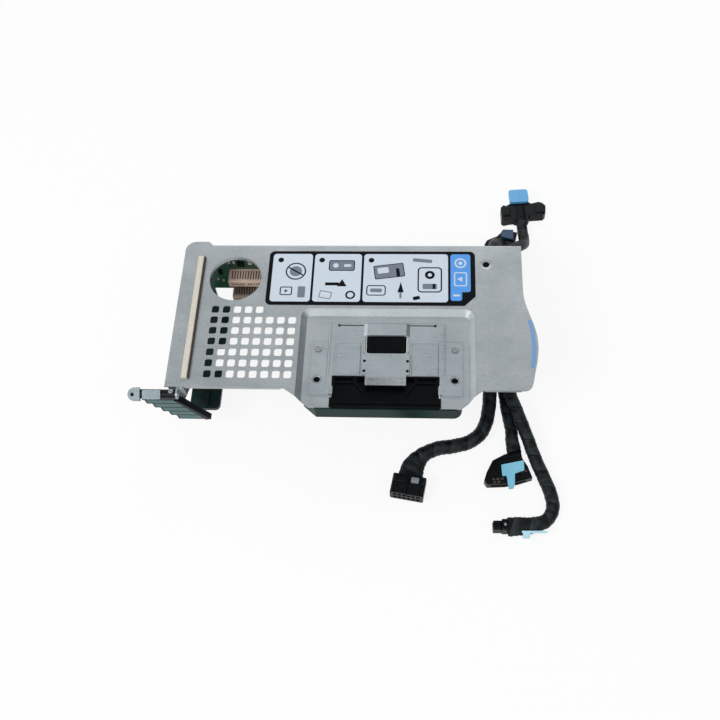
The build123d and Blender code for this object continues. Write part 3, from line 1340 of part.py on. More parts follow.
def make_power_plug():
    """Two-row power plug: a seam and ribs on top, and open cavities in front."""
    length, half, height = POWER_PLUG_LENGTH, POWER_PLUG_HALF, POWER_PLUG_HEIGHT
    body = block((0, length), (-half, half), (0, height))
    body = chamfer(body.edges().filter_by(Axis.X), POWER_PLUG_CHAMFER)
    body -= block((3.0, length + 1), (-0.5, 0.5), (height - 1.8, height + 1))
    cell_x = (length - POWER_CELL_DEPTH, length + 1)
    cell_y, cell_z = POWER_CELL_HALF
    pitch = 2 * (half - 2 * POWER_PLUG_CHAMFER) / POWER_CELLS
    for index in range(POWER_CELLS):
        y = (index + 0.5 - POWER_CELLS / 2) * pitch
        for z in POWER_CELL_LEVELS:
            body -= block(cell_x, (y - cell_y, y + cell_y), (z - cell_z, z + cell_z))
    for index in range(4):
        y = (index - 1.5) * POWER_RIB_PITCH
        body += block((length / 2, length - 0.4), (y - 0.5, y + 0.5), (height, height + POWER_RIB_HEIGHT))
    return body


def make_power_plug_latch():
    """Pale release lever on the power plug's top face."""
    lever_x, lever_y, rise = POWER_LEVER
    lever = block(lever_x, lever_y, (POWER_PLUG_HEIGHT, POWER_PLUG_HEIGHT + rise))
    return fillet(lever.edges().filter_by(Axis.Z), 2 * rise / 3)


def make_front_plug():
    """A flat fan-shaped cable plug: the neck lies off its middle, and the nose is open in front."""
    body = plate(polygon(FRONT_PLUG_OUTLINE), 0, FRONT_PLUG_HEIGHT)
    body = chamfer(body.edges().group_by(Axis.Z)[-1], FRONT_PLUG_CHAMFER)
    return body - block(*FRONT_PLUG_MOUTH)


def make_front_pull_tab():
    """Blue T-shaped pull tab on the front plug: a bar, a stem and a turned-down tip."""
    tab = plate(polygon(FRONT_TAB_OUTLINE), FRONT_PLUG_HEIGHT, FRONT_PLUG_HEIGHT + TAB_THICKNESS)
    return tab + block(*FRONT_TAB_TIP)


def make_side_plug():
    """The plug at the end of the long side cable: a narrow block that lies on its edge."""
    length, half, height = SIDE_PLUG_SIZE
    body = block((0, length), (-half, half), (0, height))
    body = fillet(edges_along(body, Axis.Z, lambda p: p.X > length - 0.1), SIDE_PLUG_CORNER)
    return body - block(*SIDE_PLUG_MOUTH)


def make_side_tab():
    """Blue strip, leg and foot beside the end of the side cable."""
    return block(*SIDE_TAB_STRIP) + block(*SIDE_TAB_LEG) + block(*SIDE_TAB_FOOT)


def make_rear_plug():
    """The plug on the long rear cable: a waisted block with an arm on each side."""
    body = plate(polygon(REAR_PLUG_OUTLINE), 0, REAR_PLUG_HEIGHT)
    return chamfer(body.edges().group_by(Axis.Z)[-1], FRONT_PLUG_CHAMFER)


def make_rear_pull_tab():
    """Blue cap-like pull tab over the far end of the long rear plug."""
    cap_x, cap_y = REAR_CAP
    cap = block(cap_x, cap_y, (REAR_PLUG_HEIGHT, REAR_PLUG_HEIGHT + REAR_CAP_HEIGHT))
    cap = fillet(cap.edges().filter_by(Axis.Z), REAR_CAP_CORNER)
    skirt_x, skirt_y, skirt_z = REAR_CAP_SKIRT
    return cap + block(skirt_x, skirt_y, (skirt_z, REAR_PLUG_HEIGHT))


def make_rear_short_plug():
    """The flat fan-shaped plug on the short rear cable."""
    body = plate(polygon(SHORT_PLUG_OUTLINE), 0, SHORT_PLUG_HEIGHT)
    return chamfer(body.edges().group_by(Axis.Z)[-1], FRONT_PLUG_CHAMFER)


def make_rear_short_tab():
    """Dark blue pull tab on the short rear plug."""
    top = SHORT_PLUG_HEIGHT + SHORT_TAB_THICKNESS
    return plate(polygon(SHORT_TAB_OUTLINE), SHORT_PLUG_HEIGHT, top)


def build_nodes():
    """Every sub-part by name, in the working frame."""
    rear_face_y = BOARD_BACK_Y + HEADER_REACH
    power = from_cable_end(POWER_ROUTE)
    front = from_cable_end(FRONT_ROUTE)
    side = from_cable_end(SIDE_ROUTE)
    rear_long = from_cable_end(REAR_LONG_ROUTE, rear_face_y)
    rear_short = from_cable_end(REAR_SHORT_ROUTE, rear_face_y)
    nodes = {
        "top_cover": make_top_cover(),
        "foam_strip": make_foam_strip(),
        "instruction_label": make_instruction_label(),
        "touch_mark": make_touch_mark(),
        "rear_bracket": make_rear_bracket(),
        "base_guide": make_base_guide(),
        "end_bracket": make_end_bracket(),
        "riser_board": make_riser_board(),
        "slot_connector_upper": make_slot_connector(SLOT_LEVELS[0]),
        "slot_connector_lower": make_slot_connector(SLOT_LEVELS[1]),
        "board_standoffs": make_standoffs(),
        "board_screws": make_board_screws(),
        "board_chips": make_board_chips(),
        "board_capacitors": make_board_capacitors(),
        "board_chokes": make_board_chokes(),
        "power_header": make_power_header(),
        "front_cable_header": make_signal_header(front[0], -1),
        "side_cable_header": make_signal_header(side[0], -1),
        "rear_long_cable_header": make_signal_header(rear_long[0], 1),
        "rear_short_cable_header": make_signal_header(rear_short[0], 1),
        "holder_bracket": make_holder_bracket(),
        "holder_rivets": make_holder_rivets(),
        "holder_body": make_holder_body(),
        "holder_skirt": make_holder_skirt(),
        "holder_slider": make_holder_slider(),
        "latch_lever": make_latch_lever(),
        "latch_end_plate": make_latch_end_plate(),
        "latch_clip": make_latch_clip(),
        "latch_pin": make_latch_pin(),
        "power_cable": make_cable("power_cable", power, POWER_DIAMETER),
        "power_plug": at_end(power, make_power_plug()),
        "power_plug_latch": at_end(power, make_power_plug_latch()),
        "front_cable": make_cable("front_cable", front, FRONT_DIAMETER),
        "front_plug": at_end(front, make_front_plug()),
        "front_pull_tab": at_end(front, make_front_pull_tab()),
        "side_cable": make_cable("side_cable", side, SIDE_DIAMETER),
        "side_plug": at_end(side, make_side_plug()),
        "side_pull_tab": at_end(side, make_side_tab()),
        "rear_long_cable": make_cable("rear_long_cable", rear_long, REAR_DIAMETER),
        "rear_long_plug": at_end(rear_long, make_rear_plug()),
        "rear_long_pull_tab": at_end(rear_long, make_rear_pull_tab()),
        "rear_short_cable": make_cable("rear_short_cable", rear_short, REAR_DIAMETER),
        "rear_short_plug": at_end(rear_short, make_rear_short_plug()),
        "rear_short_pull_tab": at_end(rear_short, make_rear_short_tab()),
    }
    shift = Pos(-MODEL_ORIGIN[0], -MODEL_ORIGIN[1], 0)
    return {name: shift * shape for name, shape in nodes.items()}


def main():
    """Write one STEP file for each sub-part."""
    os.makedirs("parts", exist_ok=True)
    for name, shape in build_nodes().items():
        export_step(shape, f"parts/{name}.step")


main()
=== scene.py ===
"""Looks for the cabled server riser: its finishes, taped cables, printed label and small trim.

Lengths are in metres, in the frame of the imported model. Places are given from the cover's front
rear corner at floor level, and at() moves them into that frame.
"""

import logging
import math
from collections.abc import Callable, Sequence
from dataclasses import dataclass, field
from enum import Enum

import bmesh
import bpy
from mathutils import Matrix, Vector


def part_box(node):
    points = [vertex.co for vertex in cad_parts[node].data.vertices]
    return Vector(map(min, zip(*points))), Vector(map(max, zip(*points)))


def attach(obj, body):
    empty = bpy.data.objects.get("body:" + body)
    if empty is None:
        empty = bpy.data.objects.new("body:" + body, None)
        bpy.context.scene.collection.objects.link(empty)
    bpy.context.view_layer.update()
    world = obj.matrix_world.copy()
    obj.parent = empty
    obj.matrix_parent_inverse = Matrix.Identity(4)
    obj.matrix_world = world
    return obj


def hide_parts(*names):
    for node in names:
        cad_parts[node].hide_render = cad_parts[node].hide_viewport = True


Pair = tuple[float, float]
Triple = tuple[float, float, float]
Look = bpy.types.Material
Piece = bpy.types.Object

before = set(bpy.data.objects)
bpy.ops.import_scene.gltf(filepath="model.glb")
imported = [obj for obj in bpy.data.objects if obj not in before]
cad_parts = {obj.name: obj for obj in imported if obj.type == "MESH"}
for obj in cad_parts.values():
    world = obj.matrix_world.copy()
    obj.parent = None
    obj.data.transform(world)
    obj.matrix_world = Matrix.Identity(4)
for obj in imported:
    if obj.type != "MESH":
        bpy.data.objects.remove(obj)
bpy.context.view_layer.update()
log = logging.getLogger("riser")

MM = 0.001
REST_HEIGHT = 0.0001
WRAP_PITCH = 0.0125
WRAP_GIRTH = 0.03
FOAM_CORNER = Vector((11.0, 6.3, 64.0)) * MM
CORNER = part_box("foam_strip")[0] - FOAM_CORNER


def at(x: float, y: float, z: float) -> Vector:
    """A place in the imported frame, from millimetres off the cover's front rear corner."""
    return CORNER + Vector((x, y, z)) * MM


class Body(Enum):
    """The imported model's bodies that carry a new piece."""

    CAGE = "cage"
    LATCH = "latch"


class Value:
    """A number or colour in a material's node tree; arithmetic on it adds Math nodes."""

    def __init__(self, tree: "Tree", socket: bpy.types.NodeSocket) -> None:
        """Keep the tree and the output socket that carries the value."""
        self.tree = tree
        self.socket = socket

    def _math(self, operation: str, first: object, second: object = 0.0) -> "Value":
        """One Math node on two numbers or values."""
        return self.tree.node("ShaderNodeMath", {"operation": operation}, {0: first, 1: second})

    def __add__(self, other: object) -> "Value":
        """Sum."""
        return self._math("ADD", self, other)

    def __radd__(self, other: object) -> "Value":
        """Sum, with the number first."""
        return self._math("ADD", other, self)

    def __sub__(self, other: object) -> "Value":
        """Difference."""
        return self._math("SUBTRACT", self, other)

    def __rsub__(self, other: object) -> "Value":
        """Difference, with the number first."""
        return self._math("SUBTRACT", other, self)

    def __mul__(self, other: object) -> "Value":
        """Product."""
        return self._math("MULTIPLY", self, other)

    def __rmul__(self, other: object) -> "Value":
        """Product, with the number first."""
        return self._math("MULTIPLY", other, self)

    def __truediv__(self, other: object) -> "Value":
        """Quotient."""
        return self._math("DIVIDE", self, other)

    def __lt__(self, other: object) -> "Value":
        """1 where this is smaller, and 0 elsewhere."""
        return self._math("LESS_THAN", self, other)

    def fraction(self) -> "Value":
        """The part after the point."""
        return self._math("FRACT", self)

    def sine(self) -> "Value":
        """Sine of the value, in radians."""
        return self._math("SINE", self)

    def clamped(self) -> "Value":
        """The value held between 0 and 1."""
        return self._math("MINIMUM", self._math("MAXIMUM", self, 0.0), 1.0)


class Tree:
    """A material's node tree, built node by node."""

    def __init__(self, name: str) -> None:
        """Make a material with an empty tree and a principled shader.

        Args:
            name: The material's name.
        """
        self.material = bpy.data.materials.new(name)
        self.material.use_nodes = True
        self.nodes = self.material.node_tree.nodes
        self.links = self.material.node_tree.links
        self.nodes.clear()
        self.shader = self.nodes.new("ShaderNodeBsdfPrincipled")
        output = self.nodes.new("ShaderNodeOutputMaterial")
        self.links.new(self.shader.outputs[0], output.inputs[0])

    def node(
        self, kind: str, settings: dict[str, object], inputs: dict, output: object = 0
    ) -> Value:
        """Add any node.

        Args:
            kind: The node's type.
            settings: Its settings, such as an operation.
            inputs: Values or links by socket name or number.
            output: The name or number of the output that is wanted.

        Returns:
            The wanted output.
        """
        made = self.nodes.new(kind)
        for name, value in settings.items():
            setattr(made, name, value)
        for name, value in inputs.items():
            self.feed(made.inputs[name], value)
        return Value(self, made.outputs[output])

    def feed(self, socket: bpy.types.NodeSocket, value: object) -> None:
        """Set a socket's number or colour, or link a value to it."""
        if isinstance(value, Value):
            self.links.new(value.socket, socket)
        elif isinstance(value, tuple) and len(value) == 3 and socket.type == "RGBA":
            socket.default_value = (*value, 1.0)
        else:
            socket.default_value = value

    def surface(self, **inputs: object) -> Look:
        """Feed the principled shader and return the material.

        Args:
            inputs: Socket names, with _ for a space, and their values.

        Returns:
            The finished material.
        """
        for name, value in inputs.items():
            self.feed(self.shader.inputs[name.replace("_", " ")], value)
        return self.material

    def place(self, turn: float = 0.0, stretch: Triple = (1.0, 1.0, 1.0)) -> Value:
        """Object coordinates, turned about z and scaled.

        Args:
            turn: Turn about z, in degrees.
            stretch: Scale on each axis.

        Returns:
            The mapped coordinates.
        """
        where = self.node("ShaderNodeTexCoord", {}, {}, "Object")
        turned = (0.0, 0.0, math.radians(turn))
        sockets = {"Vector": where, "Rotation": turned, "Scale": stretch}
        return self.node("ShaderNodeMapping", {}, sockets)

    def noise(self, where: Value, scale: float, detail: float = 3.0, rough: float = 0.5) -> Value:
        """A noise value between 0 and 1."""
        sockets = {"Vector": where, "Scale": scale, "Detail": detail, "Roughness": rough}
        return self.node("ShaderNodeTexNoise", {"noise_dimensions": "3D"}, sockets, "Fac")

    def mix(self, share: object, first: object, second: object) -> Value:
        """Blend two colours by a share from 0 to 1."""
        sockets = {0: share, 6: first, 7: second}
        return self.node("ShaderNodeMix", {"data_type": "RGBA"}, sockets, 2)

    def bump(self, height: Value, strength: float, distance: float) -> Value:
        """A bumped normal from a height."""
        sockets = {"Height": height, "Strength": strength, "Distance": distance}
        return self.node("ShaderNodeBump", {}, sockets, "Normal")


def srgb(red: int, green: int, blue: int) -> Triple:
    """A colour as the shader wants it, from display values of 0 to 255."""
    shares = [value / 255 for value in (red, green, blue)]
    return tuple(s / 12.92 if s <= 0.04045 else ((s + 0.055) / 1.055) ** 2.4 for s in shares)


@dataclass(frozen=True)
class Finish:
    """A procedural finish, by its name and main colour."""

    name: str
    colour: Triple

    def sockets(self, tree: Tree) -> dict[str, object]:
        """Returns: the shader's socket names, with _ for a space, and their values."""
        raise NotImplementedError

    def build(self) -> Look:
        """Returns: the finished material."""
        tree = Tree(self.name)
        return tree.surface(**self.sockets(tree))


@dataclass(frozen=True)
class SheetSteel(Finish):
    """Bright plated sheet with a fine grain and cloudy patches."""

    shade: Triple
    roughness: float = 0.36
    grain_turn: float = 0.0
    metallic: float = 0.68

    def sockets(self, tree: Tree) -> dict[str, object]:
        """Returns: the socket values."""
        cloud = tree.noise(tree.place(), 34.0, 3.0, 0.55)
        grain = tree.noise(tree.place(self.grain_turn, (60.0, 700.0, 60.0)), 1.0, 2.0, 0.6)
        speck = tree.noise(tree.place(), 1100.0, 3.0, 0.7)
        tone = (0.35 * cloud + 0.1 * grain + 0.55 * speck - 0.5) * 3.4 + 0.5
        colour = tree.mix(tone.clamped(), self.shade, self.colour)
        rough = self.roughness + 0.12 * (grain - 0.5) + 0.1 * (cloud - 0.5)
        normal = tree.bump(grain * 0.25 + speck * 0.5, 0.12, 0.0001)
        return dict(Base_Color=colour, Metallic=self.metallic, Roughness=rough, Normal=normal)


@dataclass(frozen=True)
class Moulding(Finish):
    """Moulded plastic with a spark-eroded texture and slightly worn patches."""

    worn: Triple
    roughness: float = 0.42
    shine: float = 0.22
    texture: float = 2200.0
    depth: float = 0.00004

    def sockets(self, tree: Tree) -> dict[str, object]:
        """Returns: the socket values."""
        patch = tree.noise(tree.place(), 60.0, 3.0, 0.6)
        fine = tree.noise(tree.place(), self.texture, 2.0, 0.6)
        colour = tree.mix((patch * 1.8 - 0.55).clamped(), self.colour, self.worn)
        rough = self.roughness + 0.16 * (patch - 0.5)
        normal = tree.bump(fine, 0.35, self.depth)
        shine = self.shine
        return dict(Specular_IOR_Level=shine, Base_Color=colour, Roughness=rough, Normal=normal)


@dataclass(frozen=True)
class Foam(Finish):
    """Open-cell foam: pores and a dusty surface."""

    pore: Triple

    def sockets(self, tree: Tree) -> dict[str, object]:
        """Returns: the socket values."""
        sockets = {"Vector": tree.place(), "Scale": 1500.0}
        cell = tree.node("ShaderNodeTexVoronoi", {"feature": "F1"}, sockets, "Distance")
        patch = tree.noise(tree.place(), 90.0)
        pores = ((0.42 - cell) * 2.2).clamped() * (0.5 + patch)
        colour = tree.mix(pores.clamped(), self.colour, self.pore)
        normal = tree.bump(cell, 0.6, 0.0003)
        return dict(Base_Color=colour, Roughness=0.95, Normal=normal)


@dataclass(frozen=True)
class ClothTape(Finish):
    """Woven cloth tape wound round a cable: threads, overlaps and dull sheen, on its own UV;
    lighter patches paint sheen highlights, and each overlap's edge carries painted shade that
    lightens across the wrap.
    """

    thread_and_sheen: Triple
    thread_count: float = 2300.0
    shine: float = 0.16

    def sockets(self, tree: Tree) -> dict[str, object]:
        """Returns: the socket values."""
        where = tree.node("ShaderNodeUVMap", {"uv_map": "wrap"}, {}, "UV")
        parts = tree.nodes.new("ShaderNodeSeparateXYZ")
        tree.feed(parts.inputs[0], where)
        along = Value(tree, parts.outputs[0])
        around = Value(tree, parts.outputs[1])
        weft = (along * self.thread_count * 2).sine()
        warp = (around * self.thread_count * 2).sine()
        weave = weft * warp
        # Lighter patches of the thread colour paint sheen highlights on the tape.
        patch = tree.noise(where, 150.0, 4.0, 0.65)
        wrap = (along / WRAP_PITCH + around / WRAP_GIRTH).fraction()
        # Painted shade: a dark line at each overlap's edge, then lighter across the wrap.
        overlap_shade = wrap < 0.08
        share = (0.25 * weave + 2.8 * (patch - 0.5) + 0.75 * wrap - 0.9 * overlap_shade).clamped()
        colour = tree.mix(share, self.colour, self.thread_and_sheen)
        rough = 0.3 + 0.2 * patch
        normal = tree.bump(weave + 5 * patch + 3 * wrap, 0.4, 0.0002)
        shine = self.shine
        return dict(Specular_IOR_Level=shine, Base_Color=colour, Roughness=rough, Normal=normal)


@dataclass(frozen=True)
class SolderMask(Finish):
    """A circuit board's green mask over faint traces."""

    trace: Triple

    def sockets(self, tree: Tree) -> dict[str, object]:
        """Returns: the socket values."""
        where = tree.place()
        sockets = {"Vector": where, "Scale": 160.0, "Randomness": 1.0}
        edges = {"feature": "DISTANCE_TO_EDGE"}
        web = tree.node("ShaderNodeTexVoronoi", edges, sockets, "Distance")
        lines = tree.node("ShaderNodeTexBrick", {}, {"Vector": where, "Scale": 260.0}, "Fac")
        traces = ((0.06 - web) * 20).clamped() * 0.6 + lines * 0.4
        colour = tree.mix(traces.clamped(), self.colour, self.trace)
        normal = tree.bump(traces, 0.2, 0.00005)
        return dict(Base_Color=colour, Roughness=0.32, Normal=normal)


@dataclass(frozen=True)
class Print(Finish):
    """Ink or film: even colour with a slight mottle."""

    shine: float = 0.3
    roughness: float = 0.38

    def sockets(self, tree: Tree) -> dict[str, object]:
        """Returns: the socket values."""
        patch = tree.noise(tree.place(), 240.0, 2.0)
        darker = tuple(value * 0.9 for value in self.colour)
        colour = tree.mix(patch, darker, self.colour)
        rough = self.roughness + 0.1 * (patch - 0.5)
        return dict(Specular_IOR_Level=self.shine, Base_Color=colour, Roughness=rough)


def made(finish: Finish) -> Look:
    """A palette field that builds its finish.

    Args:
        finish: The finish's recipe.

    Returns:
        The dataclass field.
    """
    return field(default_factory=finish.build)


@dataclass(frozen=True)
class Palette:
    """Every finish of the object, built once."""

    cover: Look = made(SheetSteel("cover_steel", srgb(182, 187, 190), srgb(152, 159, 163)))
    bracket: Look = made(
        SheetSteel("bracket_steel", srgb(172, 180, 183), srgb(136, 147, 151), 0.38, 90.0)
    )
    holder: Look = made(
        SheetSteel("holder_steel", srgb(184, 191, 195), srgb(156, 165, 170), 0.3, 90.0)
    )
    bright: Look = made(
        SheetSteel("bright_plate", srgb(118, 128, 131), srgb(90, 100, 103), 0.26, 0.0, 1.0)
    )
    screw: Look = made(SheetSteel("screw_plating", srgb(186, 190, 192), srgb(120, 126, 130), 0.26))
    brass: Look = made(SheetSteel("turned_brass", srgb(204, 176, 110), srgb(160, 130, 76), 0.3))
    foam: Look = made(Foam("gasket_foam", srgb(216, 209, 195), srgb(166, 150, 130)))
    # Dark brown strip along the gasket's right side: painted shadow, standing in for the shade
    # beside the foam.
    foam_shadow_strip: Look = made(Foam("painted_foam_shadow", srgb(62, 54, 48), srgb(34, 30, 28)))
    guide: Look = made(Moulding("base_moulding", srgb(12, 36, 32), srgb(40, 62, 58), 0.34, 0.24))
    skirt: Look = made(Moulding("skirt_moulding", srgb(8, 34, 30), srgb(24, 54, 48), 0.4, 0.12))
    black: Look = made(Moulding("holder_moulding", srgb(2, 4, 5), srgb(7, 10, 12), 0.3, 0.08))
    latch: Look = made(Moulding("latch_moulding", srgb(4, 7, 8), srgb(14, 20, 21), 0.3, 0.18))
    # Grey-green louvre plates: painted light, lighter than the black latch plastic, as its lit
    # faces look.
    louvre: Look = made(Moulding("latch_louvre_painted_lit", srgb(78, 106, 107), srgb(102, 132, 133), 0.3, 0.4))
    plug: Look = made(Moulding("plug_moulding", srgb(3, 5, 8), srgb(13, 18, 22), 0.26, 0.14))
    slot: Look = made(Moulding("slot_moulding", srgb(214, 188, 172), srgb(178, 152, 136), 0.5))
    choke: Look = made(Moulding("choke_ferrite", srgb(44, 46, 48), srgb(64, 66, 68), 0.7))
    board: Look = made(SolderMask("solder_mask", srgb(16, 58, 44), srgb(40, 96, 70)))
    copper: Look = made(Moulding("contact_copper", srgb(66, 54, 49), srgb(98, 82, 74), 0.4, 0.2))
    ceramic: Look = made(
        Moulding("chip_ceramic", srgb(196, 190, 176), srgb(150, 142, 128), 0.5, 0.3)
    )
    # Pale grey lever: its grey plastic, made lighter to paint a highlight on the power plug's
    # latch.
    lever: Look = made(Moulding("plug_lever_grey_and_painted_highlight", srgb(104, 116, 124), srgb(164, 176, 182), 0.28, 0.5))
    contact: Look = made(SheetSteel("contact_gold", srgb(214, 184, 112), srgb(176, 142, 78), 0.24))
    tape_black: Look = made(Moulding("boot_tape", srgb(2, 4, 6), srgb(16, 20, 23), 0.4, 0.12))
    # Cable tape: the lighter thread colour also paints sheen highlights; the overlaps carry painted
    # shade.
    tape: Look = made(ClothTape("cable_tape_painted_sheen_and_shade", srgb(2, 4, 6), srgb(42, 50, 54)))
    cyan: Look = made(Moulding("tab_cyan", srgb(122, 196, 226), srgb(150, 212, 234), 0.3, 0.5))
    pale: Look = made(Moulding("tab_pale", srgb(176, 222, 236), srgb(202, 236, 244), 0.3, 0.5))
    blue: Look = made(Moulding("tab_blue", srgb(80, 160, 214), srgb(108, 180, 224), 0.3, 0.5))
    deep: Look = made(Moulding("tab_deep", srgb(18, 56, 86), srgb(34, 80, 114), 0.3, 0.5))
    mark: Look = made(Print("touch_ink", srgb(116, 160, 208)))
    film: Look = made(Print("label_film", srgb(208, 218, 230)))
    ink: Look = made(Print("label_ink", srgb(8, 10, 16), 0.08))
    grey: Look = made(Print("label_grey", srgb(120, 128, 142), 0.15))
    panel: Look = made(Print("label_blue", srgb(82, 156, 234)))


def dress(palette: Palette) -> None:
    """Give every CAD node its finish.

    Args:
        palette: The built finishes.
    """
    finishes = {
        palette.cover: ("top_cover",),
        palette.bracket: ("rear_bracket", "end_bracket"),
        palette.holder: ("holder_bracket",),
        palette.bright: ("latch_end_plate", "latch_clip", "board_capacitors"),
        palette.screw: ("holder_rivets", "board_screws", "latch_pin"),
        palette.brass: ("board_standoffs",),
        palette.foam: ("foam_strip",),
        palette.guide: ("base_guide",),
        palette.skirt: ("holder_skirt",),
        palette.black: ("holder_body", "holder_slider", "board_chips"),
        palette.latch: ("latch_lever",),
        palette.plug: tuple(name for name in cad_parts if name.endswith(("_header", "_plug"))),
        palette.slot: ("slot_connector_upper", "slot_connector_lower"),
        palette.choke: ("board_chokes",),
        palette.board: ("riser_board",),
        palette.cyan: ("front_pull_tab",),
        palette.pale: ("side_pull_tab",),
        palette.lever: ("power_plug_latch",),
        palette.blue: ("rear_long_pull_tab",),
        palette.deep: ("rear_short_pull_tab",),
        palette.mark: ("touch_mark",),
        palette.ink: ("instruction_label",),
    }
    for material, names in finishes.items():
        for name in names:
            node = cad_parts[name]
            node.data.materials.clear()
            node.data.materials.append(material)


@dataclass
class TapedCable:
    """A bundle of wires wound in cloth tape, on the smooth line of its route.

    The route's points are in metres from the cover's front rear corner, and are the CAD route's.
    """

    name: str
    route: tuple[Triple, ...]
    diameter: float
    length: float
    with_pieces: tuple[str, ...]
    trim: tuple["Trim", ...] = ()
    slim: float = 1.0
    flare: float = 1.0
    flare_start: float = 1.0
    flatten: float = 1.0
    ridge: float = 0.07
    wrinkle: float = 0.085
    ring_step: float = 0.0006
    sides: int = 44

    def line(self) -> list[Vector]:
        """The smooth centreline.

        Returns:
            Points of the route's NURBS spline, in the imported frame.
        """
        curve = bpy.data.curves.new(self.name + "_line", "CURVE")
        curve.dimensions = "3D"
        curve.resolution_u = 24
        spline = curve.splines.new("NURBS")
        spline.points.add(len(self.route) - 1)
        for point, place in zip(spline.points, self.route):
            point.co = (*(CORNER + Vector(place)), 1.0)
        spline.order_u = 3
        spline.use_endpoint_u = True
        holder = bpy.data.objects.new(self.name + "_line", curve)
        bpy.context.scene.collection.objects.link(holder)
        bpy.context.view_layer.update()
        mesh = bpy.data.meshes.new_from_object(holder)
        points = [vertex.co.copy() for vertex in mesh.vertices]
        bpy.data.meshes.remove(mesh)
        bpy.data.objects.remove(holder)
        bpy.data.curves.remove(curve)
        return points

    def end_frame(self) -> Matrix:
        """The plug's frame: x runs on along the cable, kept level, from the floor under its end.

        Returns:
            The matrix from that frame, in metres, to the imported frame.
        """
        end, before = Vector(self.route[-1]), Vector(self.route[-2])
        heading = math.atan2(end.y - before.y, end.x - before.x)
        foot = CORNER + Vector((end.x, end.y, 0.0))
        return Matrix.Translation(foot) @ Matrix.Rotation(heading, 4, "Z")

    def stations(self, points: list[Vector]) -> list[Vector]:
        """The centreline at even steps.

        Args:
            points: The smooth centreline.

        Returns:
            Points about one ring step apart.
        """
        reach = [0.0]
        for before, after in zip(points, points[1:]):
            reach.append(reach[-1] + (after - before).length)
        count = max(8, round(reach[-1] / self.ring_step))
        even, index = [], 0
        for step in range(count + 1):
            wanted = reach[-1] * step / count
            while index < len(reach) - 2 and reach[index + 1] < wanted:
                index += 1
            span = reach[index + 1] - reach[index]
            share = (wanted - reach[index]) / span if span else 0.0
            even.append(points[index].lerp(points[index + 1], share))
        return even

    def radius(self, along: float, around: float) -> float:
        """The tape's surface off the centreline.

        Args:
            along: Distance from the exit.
            around: Angle about the centreline, in radians.

        Returns:
            The radius there: overlap ridges, slack wrinkles and the bundle's lumps.
        """
        half = self.diameter / 2 * self.slim
        turn = along / WRAP_PITCH + around / math.tau
        overlap = turn - math.floor(turn)
        ridge = self.ridge * (overlap**3 - 0.3) * min(1.0, 6 * (1 - overlap))
        phase = 2.2 * math.sin(along * 97.0) + 0.8 * math.sin(2 * around)
        crease = math.sin(2 * around + along * 760.0 + phase)
        pucker = math.sin(4 * around - along * 1100.0 + 2 * phase)
        pucker *= math.sin(along * 330.0 + 3 * around)
        lump = 0.5 * math.sin(2 * around + along * 60.0) + 0.5 * math.sin(along * 150.0 + around)
        slack = 0.6 * abs(crease) - 0.3 + 0.16 * pucker + 0.5 * lump
        return half * (1.0 + ridge + self.wrinkle * slack)

    def spread(self, along: float) -> float:
        """How much wider than tall the bundle is: it fans out towards its plug.

        Args:
            along: Distance from the exit.

        Returns:
            The widening of its level half-width.
        """
        if along <= self.flare_start:
            return 1.0
        share = min(1.0, (along - self.flare_start) / (self.length - self.flare_start))
        return 1.0 + (self.flare / self.slim - 1.0) * share * share * (3 - 2 * share)

    def pressed(self, out: Vector, tangent: Vector, along: float) -> Vector:
        """Widen an offset sideways and press it flatter where the bundle fans out.

        Args:
            out: Offset off the centreline.
            tangent: The centreline's direction.
            along: Distance from the exit.

        Returns:
            The changed offset.
        """
        wide = self.spread(along)
        if wide <= 1.0:
            return out
        level = Vector((tangent.y, -tangent.x, 0.0)).normalized()
        rise = level.cross(tangent)
        share = (wide - 1.0) / max(self.flare / self.slim - 1.0, 0.01)
        flat = 1.0 + (self.flatten - 1.0) * share
        return level * out.dot(level) * wide + rise * out.dot(rise) * flat

    def build(self, palette: Palette) -> Piece:
        """Args:
            palette: The built finishes.

        Returns:
            The cable's object.
        """
        path = self.stations(self.line())
        mesh = bmesh.new()
        layer = mesh.loops.layers.uv.new("wrap")
        side = (path[1] - path[0]).orthogonal().normalized()
        rings, along = [], 0.0
        reaches = []
        for index, centre in enumerate(path):
            before, after = path[max(index - 1, 0)], path[min(index + 1, len(path) - 1)]
            tangent = (after - before).normalized()
            side = (side - tangent * side.dot(tangent)).normalized()
            up = tangent.cross(side)
            if index:
                along += (centre - path[index - 1]).length
            ring = []
            for step in range(self.sides):
                angle = math.tau * step / self.sides
                out = (side * math.cos(angle) + up * math.sin(angle)) * self.radius(along, angle)
                place = centre + self.pressed(out, tangent, along)
                place.z = max(place.z, REST_HEIGHT)
                ring.append(mesh.verts.new(place))
            rings.append(ring)
            reaches.append(along)
        for index in range(len(rings) - 1):
            for step in range(self.sides):
                following = (step + 1) % self.sides
                corners = (
                    (index, step, step),
                    (index, following, step + 1),
                    (index + 1, following, step + 1),
                    (index + 1, step, step),
                )
                face = mesh.faces.new([rings[row][column] for row, column, _ in corners])
                face.smooth = True
                for loop, (row, _, turn) in zip(face.loops, corners):
                    arc = WRAP_GIRTH * turn / self.sides
                    loop[layer].uv = (reaches[row], arc)
        mesh.faces.new(list(reversed(rings[0])))
        mesh.faces.new(rings[-1])
        mesh.normal_update()
        data = bpy.data.meshes.new(self.name + "_tape")
        mesh.to_mesh(data)
        mesh.free()
        carried = [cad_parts[name] for name in self.with_pieces]
        carried += [trim.build(palette, self.end_frame()) for trim in self.trim]
        piece = bpy.data.objects.new(self.name + "_tape", data)
        bpy.context.scene.collection.objects.link(piece)
        data.materials.append(palette.tape)
        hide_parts(self.name)
        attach(piece, Body.CAGE.value)
        return piece


